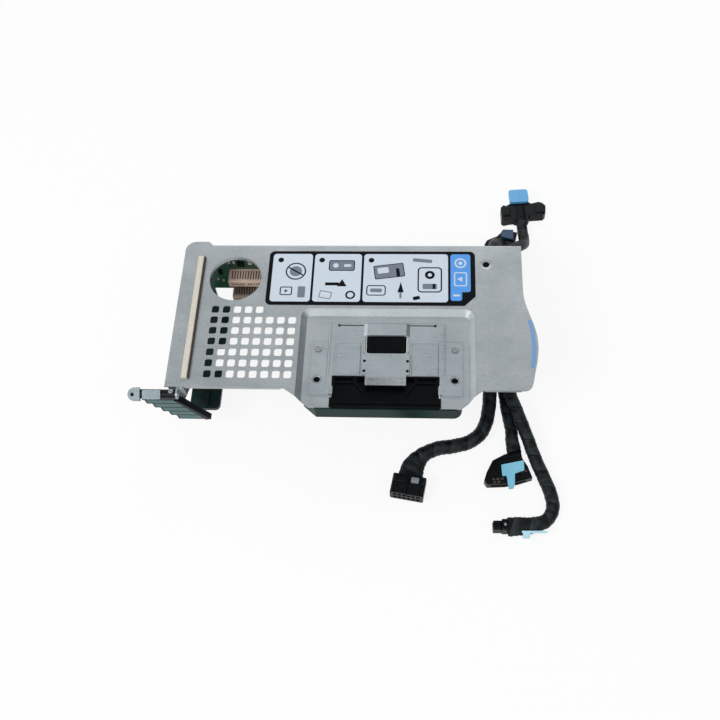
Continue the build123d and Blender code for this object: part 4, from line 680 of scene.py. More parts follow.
def pick(test: Callable[[Vector], bool]) -> None:
    """Select, in edit mode, only the vertices whose place passes a test, with their faces.

    Args:
        test: Says whether a place is wanted.
    """
    bpy.ops.mesh.select_mode(type="VERT")
    bpy.ops.mesh.select_all(action="DESELECT")
    data = bpy.context.active_object.data
    shape = bmesh.from_edit_mesh(data)
    for vertex in shape.verts:
        vertex.select = test(vertex.co)
    shape.select_flush(True)
    bmesh.update_edit_mesh(data)
    bpy.ops.mesh.select_mode(type="FACE")


def resize(size: Sequence[float], everything: bool = True) -> None:
    """Scale, in edit mode, about the origin.

    Args:
        size: The factor on each axis.
        everything: Whether the whole mesh is selected first.
    """
    if everything:
        bpy.ops.mesh.select_all(action="SELECT")
    bpy.ops.transform.resize(value=size, center_override=(0.0, 0.0, 0.0))


@dataclass(frozen=True)
class Detail:
    """A small piece that is shaped in edit mode, in millimetres and in its own frame."""

    finish: str

    def start(self) -> None:
        """Add the mesh that the piece is shaped from."""
        raise NotImplementedError

    def shape(self) -> None:
        """Shape the active mesh in edit mode."""
        raise NotImplementedError

    def build(self, palette: Palette, place: Matrix) -> Piece:
        """Model the piece and give it its finish.

        Args:
            palette: The built finishes.
            place: From the piece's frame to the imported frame.

        Returns:
            The piece, with its place in its mesh.
        """
        self.start()
        piece = bpy.context.active_object
        bpy.ops.object.mode_set(mode="EDIT")
        self.shape()
        bpy.ops.object.mode_set(mode="OBJECT")
        piece.data.transform(place)
        piece.data.materials.append(getattr(palette, self.finish))
        return piece


@dataclass(frozen=True)
class Bar(Detail):
    """A pressed or moulded bar: its ends on each axis, and the lean and taper of its upper end."""

    x: Pair
    y: Pair
    z: Pair
    edge: float = 0.2
    lean: Pair = (0.0, 0.0)
    taper: float = 1.0
    segments: int = 2

    def start(self) -> None:
        """Add a cube."""
        bpy.ops.mesh.primitive_cube_add(size=1.0)

    def shape(self) -> None:
        """Size it, taper and lean its upper end, and round its edges."""
        spans = (self.x, self.y, self.z)
        resize([(high - low) * MM for low, high in spans])
        if self.taper != 1.0 or any(self.lean):
            pick(lambda co: co.z > 0)
            resize((self.taper, self.taper, 1.0), False)
            bpy.ops.transform.translate(value=(self.lean[0] * MM, self.lean[1] * MM, 0.0))
            bpy.ops.mesh.select_all(action="SELECT")
        bpy.ops.mesh.bevel(offset=self.edge * MM, segments=self.segments, affect="EDGES")
        bpy.ops.mesh.select_all(action="SELECT")
        bpy.ops.transform.translate(value=[(high + low) / 2 * MM for low, high in spans])


@dataclass(frozen=True)
class Boss(Detail):
    """A round cup or button: the middle of its foot, its radius and height, and its sunk face."""

    x: float
    y: float
    z: float
    radius: float
    height: float
    rim: float = 0.4
    sunk: float = 0.25
    edge: float = 0.15

    def start(self) -> None:
        """Add a cylinder."""
        radius, height = self.radius * MM, self.height * MM
        bpy.ops.mesh.primitive_cylinder_add(vertices=32, radius=radius, depth=height)

    def shape(self) -> None:
        """Push down an inset of its upper face and round its edges."""
        pick(lambda co: co.z > 0)
        bpy.ops.mesh.inset(thickness=self.rim * MM)
        bpy.ops.transform.translate(value=(0.0, 0.0, -self.sunk * MM))
        pick(lambda co: co.length > self.radius * MM)
        bpy.ops.mesh.bevel(offset=self.edge * MM, segments=2, affect="EDGES")
        bpy.ops.mesh.select_all(action="SELECT")
        bpy.ops.transform.translate(value=Vector((self.x, self.y, self.z + self.height / 2)) * MM)


@dataclass(frozen=True)
class Stamp(Detail):
    """A thin flat shape, such as ink or a pressed rim: its middle and size, solid or outlined."""

    x: float
    y: float
    wide: float
    tall: float
    corner: float = 0.0
    line: float = 0.0
    turn: float = 0.0
    sides: int = 4
    level: int = 2
    foot: float = 64.25
    thick: float = 0.03

    def start(self) -> None:
        """Add a square, or a polygon with the wanted number of sides."""
        if self.sides == 4:
            bpy.ops.mesh.primitive_plane_add(size=1.0)
        else:
            bpy.ops.mesh.primitive_circle_add(vertices=self.sides, radius=0.5, fill_type="NGON")

    def shape(self) -> None:
        """Size it, round its corners, leave its outline, turn it and give it its thickness."""
        resize((self.wide * MM, self.tall * MM, 1.0))
        if self.corner:
            bpy.ops.mesh.bevel(offset=self.corner * MM, segments=5, affect="VERTICES")
            bpy.ops.mesh.select_all(action="SELECT")
        if self.line:
            bpy.ops.mesh.inset(thickness=self.line * MM)
            bpy.ops.mesh.delete(type="FACE")
            bpy.ops.mesh.select_all(action="SELECT")
        if self.turn:
            angle = math.radians(self.turn)
            bpy.ops.transform.rotate(value=angle, orient_axis="Z", center_override=(0.0, 0.0, 0.0))
        lift = (0.0, 0.0, self.thick * MM)
        bpy.ops.mesh.extrude_region_move(TRANSFORM_OT_translate={"value": lift})
        bpy.ops.mesh.select_all(action="SELECT")
        height = self.foot + self.thick * self.level
        bpy.ops.transform.translate(value=Vector((self.x, self.y, height)) * MM)
        bpy.ops.mesh.normals_make_consistent(inside=False)


def in_row(first: Piece, step: Vector, count: int) -> list[Piece]:
    """Repeat a modelled piece in a row.

    Args:
        first: The modelled piece, which starts the row.
        step: From each piece to the next.
        count: How many pieces the row has.

    Returns:
        The row, each piece with its own mesh.
    """
    row = [first]
    for index in range(1, count):
        copy = first.copy()
        copy.data = first.data.copy()
        copy.data.transform(Matrix.Translation(step * index))
        bpy.context.scene.collection.objects.link(copy)
        row.append(copy)
    return row


@dataclass(frozen=True)
class Trim:
    """Small fixed details on one body, joined into one piece."""

    name: str
    slot: str
    parts: tuple[Detail, ...]
    body: Body = Body.CAGE
    replaced: str = ""

    def build(self, palette: Palette, place: Matrix | None = None) -> Piece:
        """Model every detail and join them.

        Args:
            palette: The built finishes.
            place: From the details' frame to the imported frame; the cover's corner if none.

        Returns:
            The joined piece.
        """
        where = place or Matrix.Translation(CORNER)
        built = [part.build(palette, where) for part in self.parts]
        whole = joined(built, self.name, self.body)
        if self.replaced:
            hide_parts(self.replaced)
        return whole


POWER_TRIM = Trim(
    "power_plug_grips",
    "plug_black",
    (
        Bar("plug", (1.2, 6.4), (-10.6, -1.6), (10.6, 12.1), 0.5, taper=0.9),
        Bar("plug", (1.2, 6.4), (7.6, 10.8), (10.6, 12.1), 0.5),
        Bar("plug", (7.4, 13.6), (-10.9, -9.9), (10.6, 11.9), 0.3),
        Bar("plug", (7.4, 13.6), (9.9, 10.9), (10.6, 11.9), 0.3),
    ),
)
FRONT_TRIM = Trim(
    "front_plug_trim",
    "plug_black",
    (
        Bar("plug", (17.4, 22.0), (-20.6, -10.0), (6.1, 7.1), 0.35),
        Bar("plug", (14.0, 20.4), (0.2, 7.2), (6.1, 7.1), 0.35),
        Bar("copper", (18.0, 19.4), (-19.6, -17.6), (6.8, 7.3), 0.12),
        Bar("copper", (18.2, 19.6), (-16.6, -14.6), (6.8, 7.3), 0.12),
        Bar("copper", (18.4, 19.8), (-13.6, -11.6), (6.8, 7.3), 0.12),
        Bar("copper", (20.2, 21.5), (-19.4, -17.4), (6.8, 7.3), 0.12),
        Bar("copper", (20.4, 21.7), (-16.4, -14.4), (6.8, 7.3), 0.12),
        Bar("copper", (15.4, 16.6), (1.4, 3.0), (6.8, 7.3), 0.12),
        Bar("copper", (15.2, 16.4), (4.0, 5.6), (6.8, 7.3), 0.12),
        Bar("plug", (2.0, 3.2), (-9.4, 3.6), (6.1, 6.9), 0.3, lean=(0.3, 0.0)),
        Bar("plug", (5.0, 6.2), (-13.0, 4.2), (6.1, 6.9), 0.3, lean=(0.3, 0.0)),
    ),
)
REAR_TRIM = Trim(
    "rear_plug_boot",
    "plug_black",
    (
        Bar("tape_black", (-5.0, 15.4), (-5.0, 4.6), (1.0, 10.4), 2.6, (1.6, 0.4), 0.7, 5),
        Bar("plug", (5.2, 13.6), (-19.0, -11.6), (7.6, 9.4), 0.8, segments=4),
        Bar("plug", (3.6, 12.6), (8.4, 14.4), (7.6, 9.4), 0.8, segments=4),
    ),
)
SIDE_PLUG_SHELL = Trim(
    "side_plug_shell",
    "plug_black",
    (
        Bar("plug", (-0.4, 4.4), (-4.5, 4.4), (0.1, 9.0), 0.9, taper=0.92),
        Bar("plug", (3.8, 10.2), (-3.8, 3.7), (0.5, 7.6), 0.7, taper=0.9),
        Bar("plug", (4.6, 9.2), (-2.6, -1.4), (7.0, 8.3), 0.3),
        Bar("plug", (4.6, 9.2), (1.2, 2.4), (7.0, 8.3), 0.3),
        Bar("lever", (1.0, 2.6), (-0.9, 1.1), (8.6, 9.5), 0.3),
        Bar("ink", (9.9, 10.25), (-2.6, 2.6), (2.0, 6.2), 0.1),
    ),
    replaced="side_plug",
)
SIDE_TAB_SHAPE = Trim(
    "side_tab_shape",
    "tab_pale",
    (
        Bar("pale", (-26.6, -9.5), (4.95, 5.75), (6.4, 9.6), 0.3, lean=(0.6, -0.1)),
        Bar("pale", (-15.1, -9.9), (4.95, 7.35), (0.1, 8.0), 0.5, lean=(0.0, -0.3)),
    ),
    replaced="side_pull_tab",
)


CABLES = (
    TapedCable(
        "power_cable",
        (
            (0.2290, 0.0984, 0.0480), (0.2290, 0.0845, 0.0480), (0.2285, 0.0695, 0.0390),
            (0.2276, 0.0545, 0.0234), (0.2269, 0.0414, 0.0106), (0.2263, 0.0276, 0.0064),
            (0.2252, 0.0115, 0.0060), (0.2209, -0.0026, 0.0060), (0.2119, -0.0112, 0.0060),
            (0.1996, -0.0150, 0.0060), (0.1864, -0.0166, 0.0060), (0.1762, -0.0224, 0.0060),
            (0.1704, -0.0310, 0.0060), (0.1689, -0.0398, 0.0060),
        ),
        diameter=0.0120,
        length=0.181,
        with_pieces=("power_plug", "power_plug_latch"),
        trim=(POWER_TRIM,),
        slim=0.86,
        flare=1.42,
        flare_start=0.158,
        flatten=0.72,
    ),
    TapedCable(
        "front_cable",
        (
            (0.2320, 0.1020, 0.0150), (0.2320, 0.0890, 0.0150), (0.2330, 0.0750, 0.0104),
            (0.2346, 0.0600, 0.0050), (0.2362, 0.0450, 0.0043), (0.2370, 0.0300, 0.0042),
            (0.2386, 0.0143, 0.0042), (0.2414, 0.0008, 0.0042), (0.2413, -0.0110, 0.0043),
            (0.2426, -0.0186, 0.0043),
        ),
        diameter=0.0084,
        length=0.123,
        with_pieces=("front_plug", "front_pull_tab"),
        trim=(FRONT_TRIM,),
        slim=1.1,
        flare=1.25,
        flare_start=0.106,
        flatten=0.86,
    ),
    TapedCable(
        "side_cable",
        (
            (0.2370, 0.1020, 0.0310), (0.2370, 0.0880, 0.0310), (0.2376, 0.0730, 0.0270),
            (0.2382, 0.0570, 0.0198), (0.2385, 0.0410, 0.0154), (0.2394, 0.0258, 0.0136),
            (0.2450, 0.0120, 0.0124), (0.2502, -0.0034, 0.0098), (0.2566, -0.0220, 0.0056),
            (0.2638, -0.0400, 0.0046), (0.2679, -0.0535, 0.0046), (0.2674, -0.0635, 0.0046),
            (0.2618, -0.0704, 0.0046), (0.2534, -0.0728, 0.0046), (0.2446, -0.0736, 0.0046),
            (0.2362, -0.0738, 0.0046),
        ),
        diameter=0.0092,
        length=0.206,
        with_pieces=(),
        trim=(SIDE_PLUG_SHELL, SIDE_TAB_SHAPE),
        flare=1.5,
        flare_start=0.176,
        flatten=0.74,
    ),
    TapedCable(
        "rear_long_cable",
        (
            (0.2380, 0.1244, 0.0320), (0.2380, 0.1334, 0.0320), (0.2464, 0.1436, 0.0294),
            (0.2538, 0.1532, 0.0200), (0.2568, 0.1640, 0.0084), (0.2564, 0.1760, 0.0046),
            (0.2556, 0.1880, 0.0046),
        ),
        diameter=0.0086,
        length=0.077,
        with_pieces=("rear_long_plug", "rear_long_pull_tab"),
        trim=(REAR_TRIM,),
    ),
    TapedCable(
        "rear_short_cable",
        (
            (0.2294, 0.1244, 0.04416), (0.2294, 0.1326, 0.04416), (0.2308, 0.1410, 0.03836),
            (0.2328, 0.1480, 0.0278), (0.2348, 0.1544, 0.0166), (0.2368, 0.1606, 0.0080),
            (0.2384, 0.1670, 0.0048),
        ),
        diameter=0.0086,
        length=0.061,
        with_pieces=("rear_short_plug", "rear_short_pull_tab"),
    ),
)


LABEL = Trim(
    "label_print",
    "label_print",
    (
        Stamp("film", 81.2, 91.0, 29.0, 41.8, 2.4, level=1),
        Stamp("film", 114.6, 91.0, 34.4, 41.8, 2.4, level=1),
        Stamp("film", 164.0, 91.0, 61.0, 41.8, 2.4, level=1),
        Stamp("panel", 203.4, 95.4, 14.4, 33.0, 2.0, level=1),
        Stamp("panel", 200.3, 76.4, 8.2, 10.0, 2.0),
        Stamp("ink", 72.4, 106.4, 4.2, 4.2, sides=24),
        Stamp("ink", 84.0, 96.4, 15.0, 15.0, 0.0, 1.0, sides=32),
        Stamp("grey", 84.0, 96.4, 9.0, 9.0, sides=28),
        Stamp("ink", 84.0, 96.4, 12.6, 1.1, 0.0, 0.0, 32.0, level=3),
        Stamp("ink", 78.0, 79.2, 9.0, 7.4, 1.2, 0.8),
        Stamp("grey", 89.2, 78.4, 5.4, 9.6, 0.8),
        Stamp("ink", 77.9, 79.2, 3.2, 3.2, 0.0, 0.0, 90.0, 3),
        Stamp("ink", 102.6, 106.4, 4.2, 4.2, sides=24),
        Stamp("grey", 117.4, 101.6, 19.0, 9.4, 1.6),
        Stamp("ink", 117.4, 101.6, 19.0, 9.4, 1.6, 0.7, level=3),
        Stamp("film", 113.0, 101.6, 4.0, 4.0, sides=20, level=4),
        Stamp("film", 121.6, 101.6, 5.2, 2.2, 0.6, level=4),
        Stamp("ink", 111.0, 85.4, 10.0, 2.6),
        Stamp("ink", 118.2, 85.4, 8.2, 8.2, 0.0, 0.0, 0.0, 3),
        Stamp("grey", 106.6, 76.0, 9.0, 6.4, 1.0, 0.7, 12.0),
        Stamp("ink", 124.6, 76.0, 7.2, 7.2, 0.0, 1.3, sides=24),
        Stamp("ink", 138.8, 106.4, 4.2, 4.2, sides=24),
        Stamp("grey", 152.0, 96.8, 22.0, 12.0, 1.0, 0.0, -8.0),
        Stamp("ink", 152.0, 96.8, 22.0, 12.0, 1.0, 0.6, -8.0, level=3),
        Stamp("film", 147.6, 97.4, 8.0, 5.0, 0.8, 0.0, -8.0, level=4),
        Stamp("ink", 158.4, 95.8, 2.4, 7.0, 0.5, 0.0, -8.0, level=4),
        Stamp("ink", 143.0, 80.0, 14.0, 9.0, 2.2, 0.8),
        Stamp("grey", 143.0, 80.0, 8.6, 3.2, 1.2),
        Stamp("ink", 160.6, 81.4, 5.2, 12.0, 0.0, 0.0, 0.0, 3),
        Stamp("grey", 160.6, 75.8, 1.6, 5.0, 0.3),
        Stamp("ink", 181.4, 89.4, 17.6, 22.0, 3.0, 1.0),
        Stamp("ink", 181.4, 93.6, 7.2, 7.2, sides=28),
        Stamp("film", 181.4, 93.6, 3.0, 3.0, sides=20, level=3),
        Stamp("grey", 181.4, 83.6, 10.4, 4.6, 1.0),
        Stamp("ink", 184.4, 83.6, 2.0, 4.6, 0.0, level=3),
        Stamp("grey", 176.0, 106.2, 14.0, 3.0, 0.6, 0.0, 6.0),
        Stamp("ink", 172.0, 73.6, 5.0, 3.0, 0.6, 0.0, -14.0),
        Stamp("film", 203.4, 104.0, 8.6, 8.6, 0.0, 1.2, sides=28),
        Stamp("film", 203.4, 104.0, 3.0, 3.0, sides=20),
        Stamp("film", 203.4, 90.0, 9.4, 12.2, 1.6, 0.9),
        Stamp("film", 203.4, 90.0, 5.0, 5.0, 0.0, 0.0, -90.0, 3),
        Stamp("film", 200.4, 76.0, 5.0, 1.6, 0.7, level=3),
    ),
)


def joined(pieces: list[Piece], name: str, body: Body = Body.CAGE) -> Piece:
    """Join small pieces into one that rides on a body.

    Args:
        pieces: The pieces, each with its place in its mesh.
        name: The joined piece's name.
        body: The body that carries it.

    Returns:
        The joined piece.
    """
    bpy.ops.object.select_all(action="DESELECT")
    for piece in pieces:
        piece.select_set(True)
    bpy.context.view_layer.objects.active = pieces[0]
    if len(pieces) > 1:
        bpy.ops.object.join()
    whole = bpy.context.view_layer.objects.active
    whole.name = name
    whole.select_set(False)
    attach(whole, body.value)
    return whole


@dataclass
class CoverTrim:
    """Black cups painted as shade in the datum hole, the screw holes and the bridge's holes, a dark
    strip painted as the gasket's shadow, and the card holder's rims and lugs.

    Offsets are from the holder's middle. A rim is its middle y, its size and its corner.
    """

    hole: Pair = (221.9, 103.4)
    cup_radius: float = 2.4
    middle: float = 151.7
    sheet_top: float = 60.8
    pad_top: float = 61.5
    bridge_top: float = 62.2
    slider_gap: float = 0.35
    window_rim: tuple[float, ...] = (36.3, 32.0, 16.6, 4.4)
    outer_rim: tuple[float, ...] = (33.4, 81.2, 43.2, 1.6)
    pad_rim: tuple[float, ...] = (25.6, 17.6, 25.6, 2.6)
    wing_rim: tuple[float, ...] = (18.4, 12.0, 43.2, 1.4)
    screw_rim: float = 7.0
    pad_offset: float = 26.9
    wing_offset: float = 46.8
    lug_offset: float = 38.6
    edge_offset: float = 39.8
    cup_offset: float = 14.9
    cup_rows: Pair = (15.1, 22.9)
    screw_hole: Pair = (47.3, 8.9)
    rivet: Pair = (47.6, 33.1)
    lip_half_width: float = 12.7

    def cups(self) -> tuple[Boss, ...]:
        """Returns: the four black cups in the bridge's holes: painted shade that darkens the holes.
        """
        foot = self.bridge_top - 0.3
        columns = [self.middle + side * self.cup_offset for side in (-1, 1)]
        cup = (foot, 1.1, 0.4, 0.3, 0.2)
        return tuple(Boss("black", x, y, *cup) for x in columns for y in self.cup_rows)

    def rims(self) -> tuple[Stamp, ...]:
        """Returns: the pressed rims round the holder, its pads, wings, window and screw holes."""
        middle, low = self.middle, self.sheet_top - 0.2
        over_slider = {"foot": self.sheet_top + self.slider_gap, "thick": 0.6, "level": 0}
        on_sheet = {"foot": low, "thick": 0.5, "level": 0}
        on_pad = {"foot": self.pad_top - 0.3, "thick": 0.65, "level": 0}
        round_hole = {"sides": 36, "foot": self.sheet_top - 0.1, "thick": 0.4, "level": 0}
        rims = [
            Stamp("holder", middle, *self.window_rim, 1.2, **over_slider),
            Stamp("holder", middle, *self.outer_rim, 0.7, **on_sheet),
        ]
        for side in (-1, 1):
            hole = (middle + side * self.screw_hole[0], self.screw_hole[1])
            across = (self.screw_rim, self.screw_rim, 0.0)
            rims += [
                Stamp("holder", middle + side * self.pad_offset, *self.pad_rim, 1.0, **on_pad),
                Stamp("holder", middle + side * self.wing_offset, *self.wing_rim, 0.6, **on_sheet),
                Stamp("screw", *hole, *across, 0.9, **round_hole),
            ]
        return tuple(rims)

    def lugs(self) -> tuple[Detail, ...]:
        """Returns: the bridge's bright lip, and the rivet heads, lugs and edges on both sides."""
        lip = (self.middle - self.lip_half_width, self.middle + self.lip_half_width)
        lugs = [Bar("screw", lip, (4.2, 10.8), (61.3, 62.08), 0.22)]
        for side in (-1, 1):
            head = (self.middle + side * self.rivet[0], self.rivet[1], self.sheet_top + 0.5)
            lug, edge = self.middle + side * self.lug_offset, self.middle + side * self.edge_offset
            lugs += [
                Boss("screw", *head, 2.5, 0.75, 0.5),
                Bar("holder", (lug - 2.6, lug + 2.6), (-2.4, 3.4), (60.7, 61.3), 0.28),
                Bar("holder", (lug - 1.0, lug + 1.0), (-1.6, 1.4), (61.1, 61.8), 0.3),
                Bar("holder", (edge - 0.5, edge + 0.5), (13.4, 50.4), (60.7, 61.6), 0.3),
            ]
        return tuple(lugs)

    def build(self, palette: Palette) -> list[Piece]:
        """Model the cover's and the holder's trim.

        Args:
            palette: The built finishes.

        Returns:
            The pieces.
        """
        # A black cup under the datum hole paints the shade inside the hole.
        datum_cup = (Boss("black", *self.hole, 63.05, self.cup_radius, 0.6, 0.5, 0.35),)
        # A dark strip along the foam's right side paints its shadow.
        foam_shadow_strip = (Bar("foam_shadow_strip", (15.1, 16.5), (6.5, 108.4), (64.0, 65.9), 0.3),)
        holes = [(self.middle + side * self.screw_hole[0], self.screw_hole[1]) for side in (-1, 1)]
        # Black cups under the screw holes paint the holes' shade.
        screw_cups = tuple(Boss("black", x, y, 58.4, 2.38, 0.8, 0.3, 0.2) for x, y in holes)
        trims = (
            Trim("datum_cup", "chip_black", datum_cup),
            Trim("foam_backing", "foam", foam_shadow_strip),
            Trim("holder_lugs", "holder_steel", self.lugs()),
            Trim("screw_cups", "holder_black", screw_cups),
            # Black cups in the bridge's holes paint their shade.
            Trim("bridge_rivets", "holder_black", self.cups()),
            Trim("holder_rims", "holder_steel", self.rims()),
        )
        return [trim.build(palette) for trim in trims]


@dataclass
class LatchTrim:
    """The latch's louvre faces, lighter plates that paint the black plastic's lit faces, its bright
    button, and a black plug in its end plate's hole that paints the hole's shade.
    """

    rows: int = 5
    pitch: float = 5.7
    top: float = 54.5
    start: float = -16.8
    end: float = 7.6
    skew: Pair = (22.5, 17.0)
    front: float = -5.6
    depth: float = 1.3
    axis: Pair = (-3.5, 59.4)
    tilt: float = 35.0

    def louvre(self, row: int) -> Bar:
        """One louvre's face plate.

        Args:
            row: Its number, counted from the top.

        Returns:
            The plate, leaning with its tooth and with the latch's skew.
        """
        high = self.top - row * self.pitch - 0.7
        low = high - self.pitch + 1.9
        left = self.start + self.skew[0] * (row + 0.5) / self.rows + 1.0
        fall = self.skew[1] / (self.rows * self.pitch)
        right = self.end + (self.top - low) * fall - 2.6
        back = self.depth * (high - low) / (self.pitch - 1.0)
        lean = (-(high - low) * fall, back)
        depth = (self.front - 0.1, self.front + 0.5)
        return Bar("louvre", (left, right), depth, (low, high), 0.12, lean)

    def build(self, palette: Palette) -> list[Piece]:
        """Model the plates, the button and the black plug that paints the end plate's hole dark.

        Args:
            palette: The built finishes.

        Returns:
            The pieces.
        """
        plates = tuple(self.louvre(row) for row in range(self.rows))
        button = (Boss("screw", 4.6, -2.9, 62.1, 1.7, 0.8, 0.5, 0.2),)
        tilt = Matrix.Rotation(math.radians(self.tilt), 4, "X")
        turned = Matrix.Translation(at(0.0, *self.axis)) @ tilt
        # A black plug in the end plate's hole paints the shade inside it.
        plug = (Boss("black", -22.0, 0.0, 0.6, 1.28, 2.6, 0.3, 0.4),)
        end_hole_shade = Trim("latch_bush", "latch_black", plug, Body.LATCH)
        # The plates' lighter colour paints the light falling on the black latch's louvre faces.
        faces = Trim("latch_louvres", "latch_black", plates, Body.LATCH)
        cap = Trim("latch_button", "latch_steel", button, Body.LATCH)
        return [faces.build(palette), cap.build(palette), end_hole_shade.build(palette, turned)]


@dataclass
class BoardTrim:
    """What shows through the round window: slot ribs, contacts and small parts on the board."""

    face_y: float = 112.4
    slot_start: float = 30.0
    slot_length: float = 89.0
    slot_near_y: float = 101.1
    levels: Pair = (40.0, 19.68)
    rise: float = 3.8
    rib_pitch: float = 2.0

    def slot_ribs(self, palette: Palette, level: float) -> list[Piece]:
        """Dark ribs along a slot's upper side and gold contacts in its groove.

        Args:
            palette: The built finishes.
            level: The slot's height.

        Returns:
            The ribs and contacts.
        """
        where = Matrix.Translation(CORNER)
        top, x = level + self.rise, self.slot_start + 2.4
        rib_y = (self.slot_near_y + 2.2, self.face_y - 1.6)
        rib = Bar("copper", (x, x + 0.8), rib_y, (top - 0.2, top + 0.25), 0.08, segments=1)
        count = int((self.slot_length - 5.0) / self.rib_pitch)
        step = Vector((self.rib_pitch * MM, 0, 0))
        row = in_row(rib.build(palette, where), step, count)
        spring_y = (self.slot_near_y + 0.3, self.slot_near_y + 6.0)
        for side in (-1, 1):
            middle = level + side * 0.85
            spring_z = (middle - 0.15, middle + 0.15)
            spring = Bar("contact", (x, x + 0.9), spring_y, spring_z, 0.05, segments=1)
            row += in_row(spring.build(palette, where), step, count)
        return row

    def small_parts(self) -> tuple[Bar, ...]:
        """Ceramic and black chips on the board's near face, above and left of the slots."""
        places = (
            (11.0, 50.0, 3.2, 1.6, "ceramic"),
            (16.0, 54.0, 1.6, 3.0, "ceramic"),
            (19.5, 48.6, 4.4, 4.4, "black"),
            (12.6, 42.4, 1.4, 2.8, "ceramic"),
            (16.4, 40.0, 3.0, 1.4, "copper"),
            (22.6, 41.0, 2.8, 5.0, "black"),
            (12.0, 33.0, 3.8, 3.8, "black"),
            (19.0, 31.4, 1.4, 2.6, "ceramic"),
            (23.0, 30.0, 1.4, 2.6, "ceramic"),
            (27.4, 53.4, 1.5, 2.8, "ceramic"),
            (31.0, 53.4, 1.5, 2.8, "ceramic"),
            (34.6, 53.4, 1.5, 2.8, "ceramic"),
            (39.6, 51.4, 5.4, 5.4, "black"),
            (46.8, 55.0, 3.0, 1.6, "ceramic"),
            (46.8, 51.4, 3.0, 1.6, "ceramic"),
            (46.8, 47.8, 3.0, 1.6, "copper"),
            (52.0, 53.0, 2.2, 6.4, "screw"),
            (56.4, 51.0, 4.2, 3.0, "ceramic"),
            (31.6, 48.0, 3.0, 1.5, "copper"),
        )
        chips = []
        for x, z, wide, tall, finish in places:
            depth = 1.5 if finish == "black" else 0.9
            span_x, span_z = (x - wide / 2, x + wide / 2), (z - tall / 2, z + tall / 2)
            span_y = (self.face_y - depth, self.face_y + 0.1)
            chips.append(Bar(finish, span_x, span_y, span_z, 0.12))
        return tuple(chips)

    def build(self, palette: Palette) -> list[Piece]:
        """Model the slots' details and the board's small parts.

        Args:
            palette: The built finishes.

        Returns:
            The pieces.
        """
        rows = [piece for level in self.levels for piece in self.slot_ribs(palette, level)]
        slots = joined(rows, "slot_details")
        return [slots, Trim("board_small_parts", "chip_black", self.small_parts()).build(palette)]


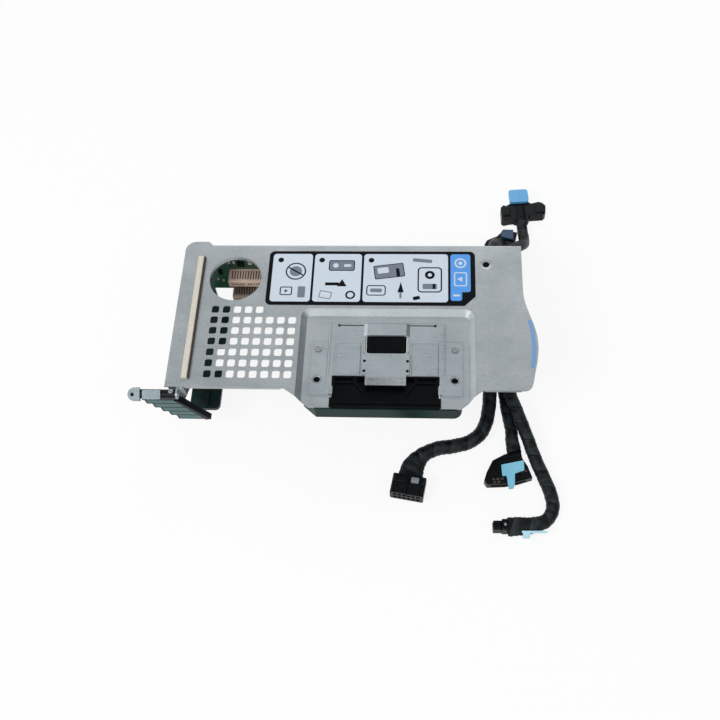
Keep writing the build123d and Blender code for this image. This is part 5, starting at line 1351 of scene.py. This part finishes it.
@dataclass
class Studio:
    """Pale floor, soft lamps, white background and the photograph's camera."""

    floor_size: float = 6.0
    lens: float = 49.54
    eye: Triple = (179.3, -316.2, 654.8)
    right: Triple = (0.99773, 0.04179, -0.05274)
    up: Triple = (-0.01001, 0.86716, 0.49793)

    def floor(self) -> None:
        """A pale floor that keeps a faint shadow and looks white from the camera."""
        bpy.ops.mesh.primitive_plane_add(size=self.floor_size, location=(0, 0, -0.0002))
        plane = bpy.context.active_object
        plane.name = "studio_floor"
        tree = Tree("pale_floor")
        tree.surface(Base_Color=(0.9, 0.9, 0.9), Roughness=0.9)
        self.white_to_camera(tree, 0.88)
        plane.data.materials.append(tree.material)

    def seen(self, tree: bpy.types.NodeTree) -> bpy.types.NodeSocket:
        """The rays that the camera, gloss and clear things send.

        Args:
            tree: The node tree that asks.

        Returns:
            A socket that is 1 for those rays and 0 for the rest.
        """
        path = tree.nodes.new("ShaderNodeLightPath")
        first, second = tree.nodes.new("ShaderNodeMath"), tree.nodes.new("ShaderNodeMath")
        first.operation = second.operation = "MAXIMUM"
        tree.links.new(path.outputs["Is Camera Ray"], first.inputs[0])
        tree.links.new(path.outputs["Is Glossy Ray"], first.inputs[1])
        tree.links.new(first.outputs[0], second.inputs[0])
        tree.links.new(path.outputs["Is Transmission Ray"], second.inputs[1])
        return second.outputs[0]

    def white_to_camera(self, tree: Tree, share: float) -> None:
        """Let the seen rays meet mostly white.

        Args:
            tree: The material's tree.
            share: How much of it is plain white for those rays.
        """
        glow = tree.nodes.new("ShaderNodeEmission")
        blend = tree.nodes.new("ShaderNodeMixShader")
        output = next(n for n in tree.nodes if n.type == "OUTPUT_MATERIAL")
        tree.feed(blend.inputs[0], Value(tree, self.seen(tree.material.node_tree)) * share)
        tree.links.new(tree.shader.outputs[0], blend.inputs[1])
        tree.links.new(glow.outputs[0], blend.inputs[2])
        tree.links.new(blend.outputs[0], output.inputs[0])

    def world(self) -> None:
        """A soft even sky that looks white from the camera and in gloss."""
        world = bpy.data.worlds.new("studio_sky")
        bpy.context.scene.world = world
        world.use_nodes = True
        tree = world.node_tree
        tree.nodes.clear()
        output = tree.nodes.new("ShaderNodeOutputWorld")
        blend = tree.nodes.new("ShaderNodeMixShader")
        tree.links.new(self.seen(tree), blend.inputs[0])
        skies = (((0.93, 0.97, 1.0, 1.0), 0.5), ((1.0, 1.0, 1.0, 1.0), 1.0))
        for slot, (colour, strength) in enumerate(skies, 1):
            sky = tree.nodes.new("ShaderNodeBackground")
            sky.inputs[0].default_value = colour
            sky.inputs[1].default_value = strength
            tree.links.new(sky.outputs[0], blend.inputs[slot])
        tree.links.new(blend.outputs[0], output.inputs[0])

    def lamp(self, name: str, place: Triple, size: float, power: float) -> None:
        """One soft square lamp aimed at the object."""
        data = bpy.data.lights.new(name, "AREA")
        data.size = size
        data.energy = power
        lamp = bpy.data.objects.new(name, data)
        lamp.location = place
        lamp.rotation_euler = (-Vector(place)).to_track_quat("-Z", "Y").to_euler()
        bpy.context.scene.collection.objects.link(lamp)

    def card(self, name: str, place: Triple, size: Pair, glow: float) -> None:
        """A grey card that only gloss sees: it shapes the steel's reflections and lights nothing.

        Args:
            name: The card's name.
            place: Its middle; it faces the object.
            size: Its width and height.
            glow: How light it looks, where 1 is white.
        """
        bpy.ops.mesh.primitive_plane_add(size=1.0, location=place)
        card = bpy.context.active_object
        card.name = name
        card.rotation_euler = (-Vector(place)).to_track_quat("Z", "Y").to_euler()
        card.scale = (*size, 1.0)
        card.visible_camera = card.visible_shadow = card.visible_diffuse = False
        tree = Tree(name + "_cloth")
        black = (0.0, 0.0, 0.0)
        shade = (glow * 0.97, glow, glow * 1.01)
        tree.surface(Base_Color=black, Roughness=1.0, Emission_Color=shade, Emission_Strength=1.0)
        card.data.materials.append(tree.material)

    def camera(self) -> None:
        """The camera at the photograph's viewing angle."""
        right, up = Vector(self.right).normalized(), Vector(self.up).normalized()
        back = right.cross(up).normalized()
        up = back.cross(right).normalized()
        data = bpy.data.cameras.new("photo_camera")
        data.lens = self.lens
        data.sensor_width = 36.0
        data.sensor_fit = "HORIZONTAL"
        data.clip_start = 0.01
        camera = bpy.data.objects.new("photo_camera", data)
        turned = Matrix((right, up, back)).transposed().to_4x4()
        camera.matrix_world = Matrix.Translation(at(*self.eye)) @ turned
        bpy.context.scene.collection.objects.link(camera)
        bpy.context.scene.camera = camera

    def build(self) -> None:
        """Set up the whole stage."""
        bpy.context.scene.view_settings.view_transform = "Standard"
        self.floor()
        self.world()
        self.lamp("key_lamp", (-0.9, -0.8, 1.3), 0.6, 13.0)
        self.lamp("fill_lamp", (0.9, -0.5, 1.2), 1.0, 3.0)
        self.lamp("back_lamp", (0.1, 1.2, 1.3), 1.0, 5.0)
        self.card("side_card", (0.62, 0.0, 0.22), (1.6, 0.44), 0.02)
        self.card("sky_card", (-0.03, 0.46, 1.14), (1.9, 0.92), 0.46)
        self.card("front_card", (-0.1, -0.8, 0.95), (1.7, 0.7), 1.7)
        self.card("left_card", (-0.95, 0.5, 0.35), (1.2, 0.6), 1.6)
        self.camera()


def main() -> None:
    """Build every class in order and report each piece."""
    logging.basicConfig(level=logging.INFO, format="%(name)s: %(message)s")
    bpy.ops.object.select_all(action="DESELECT")
    palette = Palette()
    dress(palette)
    pieces = [LABEL.build(palette)]
    for assembly in (CoverTrim(), LatchTrim(), BoardTrim()):
        pieces += assembly.build(palette)
    for piece in pieces:
        log.info("%s has %d faces", piece.name, len(piece.data.polygons))
    for cable in CABLES:
        piece = cable.build(palette)
        log.info("%s has %d faces", piece.name, len(piece.data.polygons))
    Studio().build()


if __name__ == "__main__":
    main()
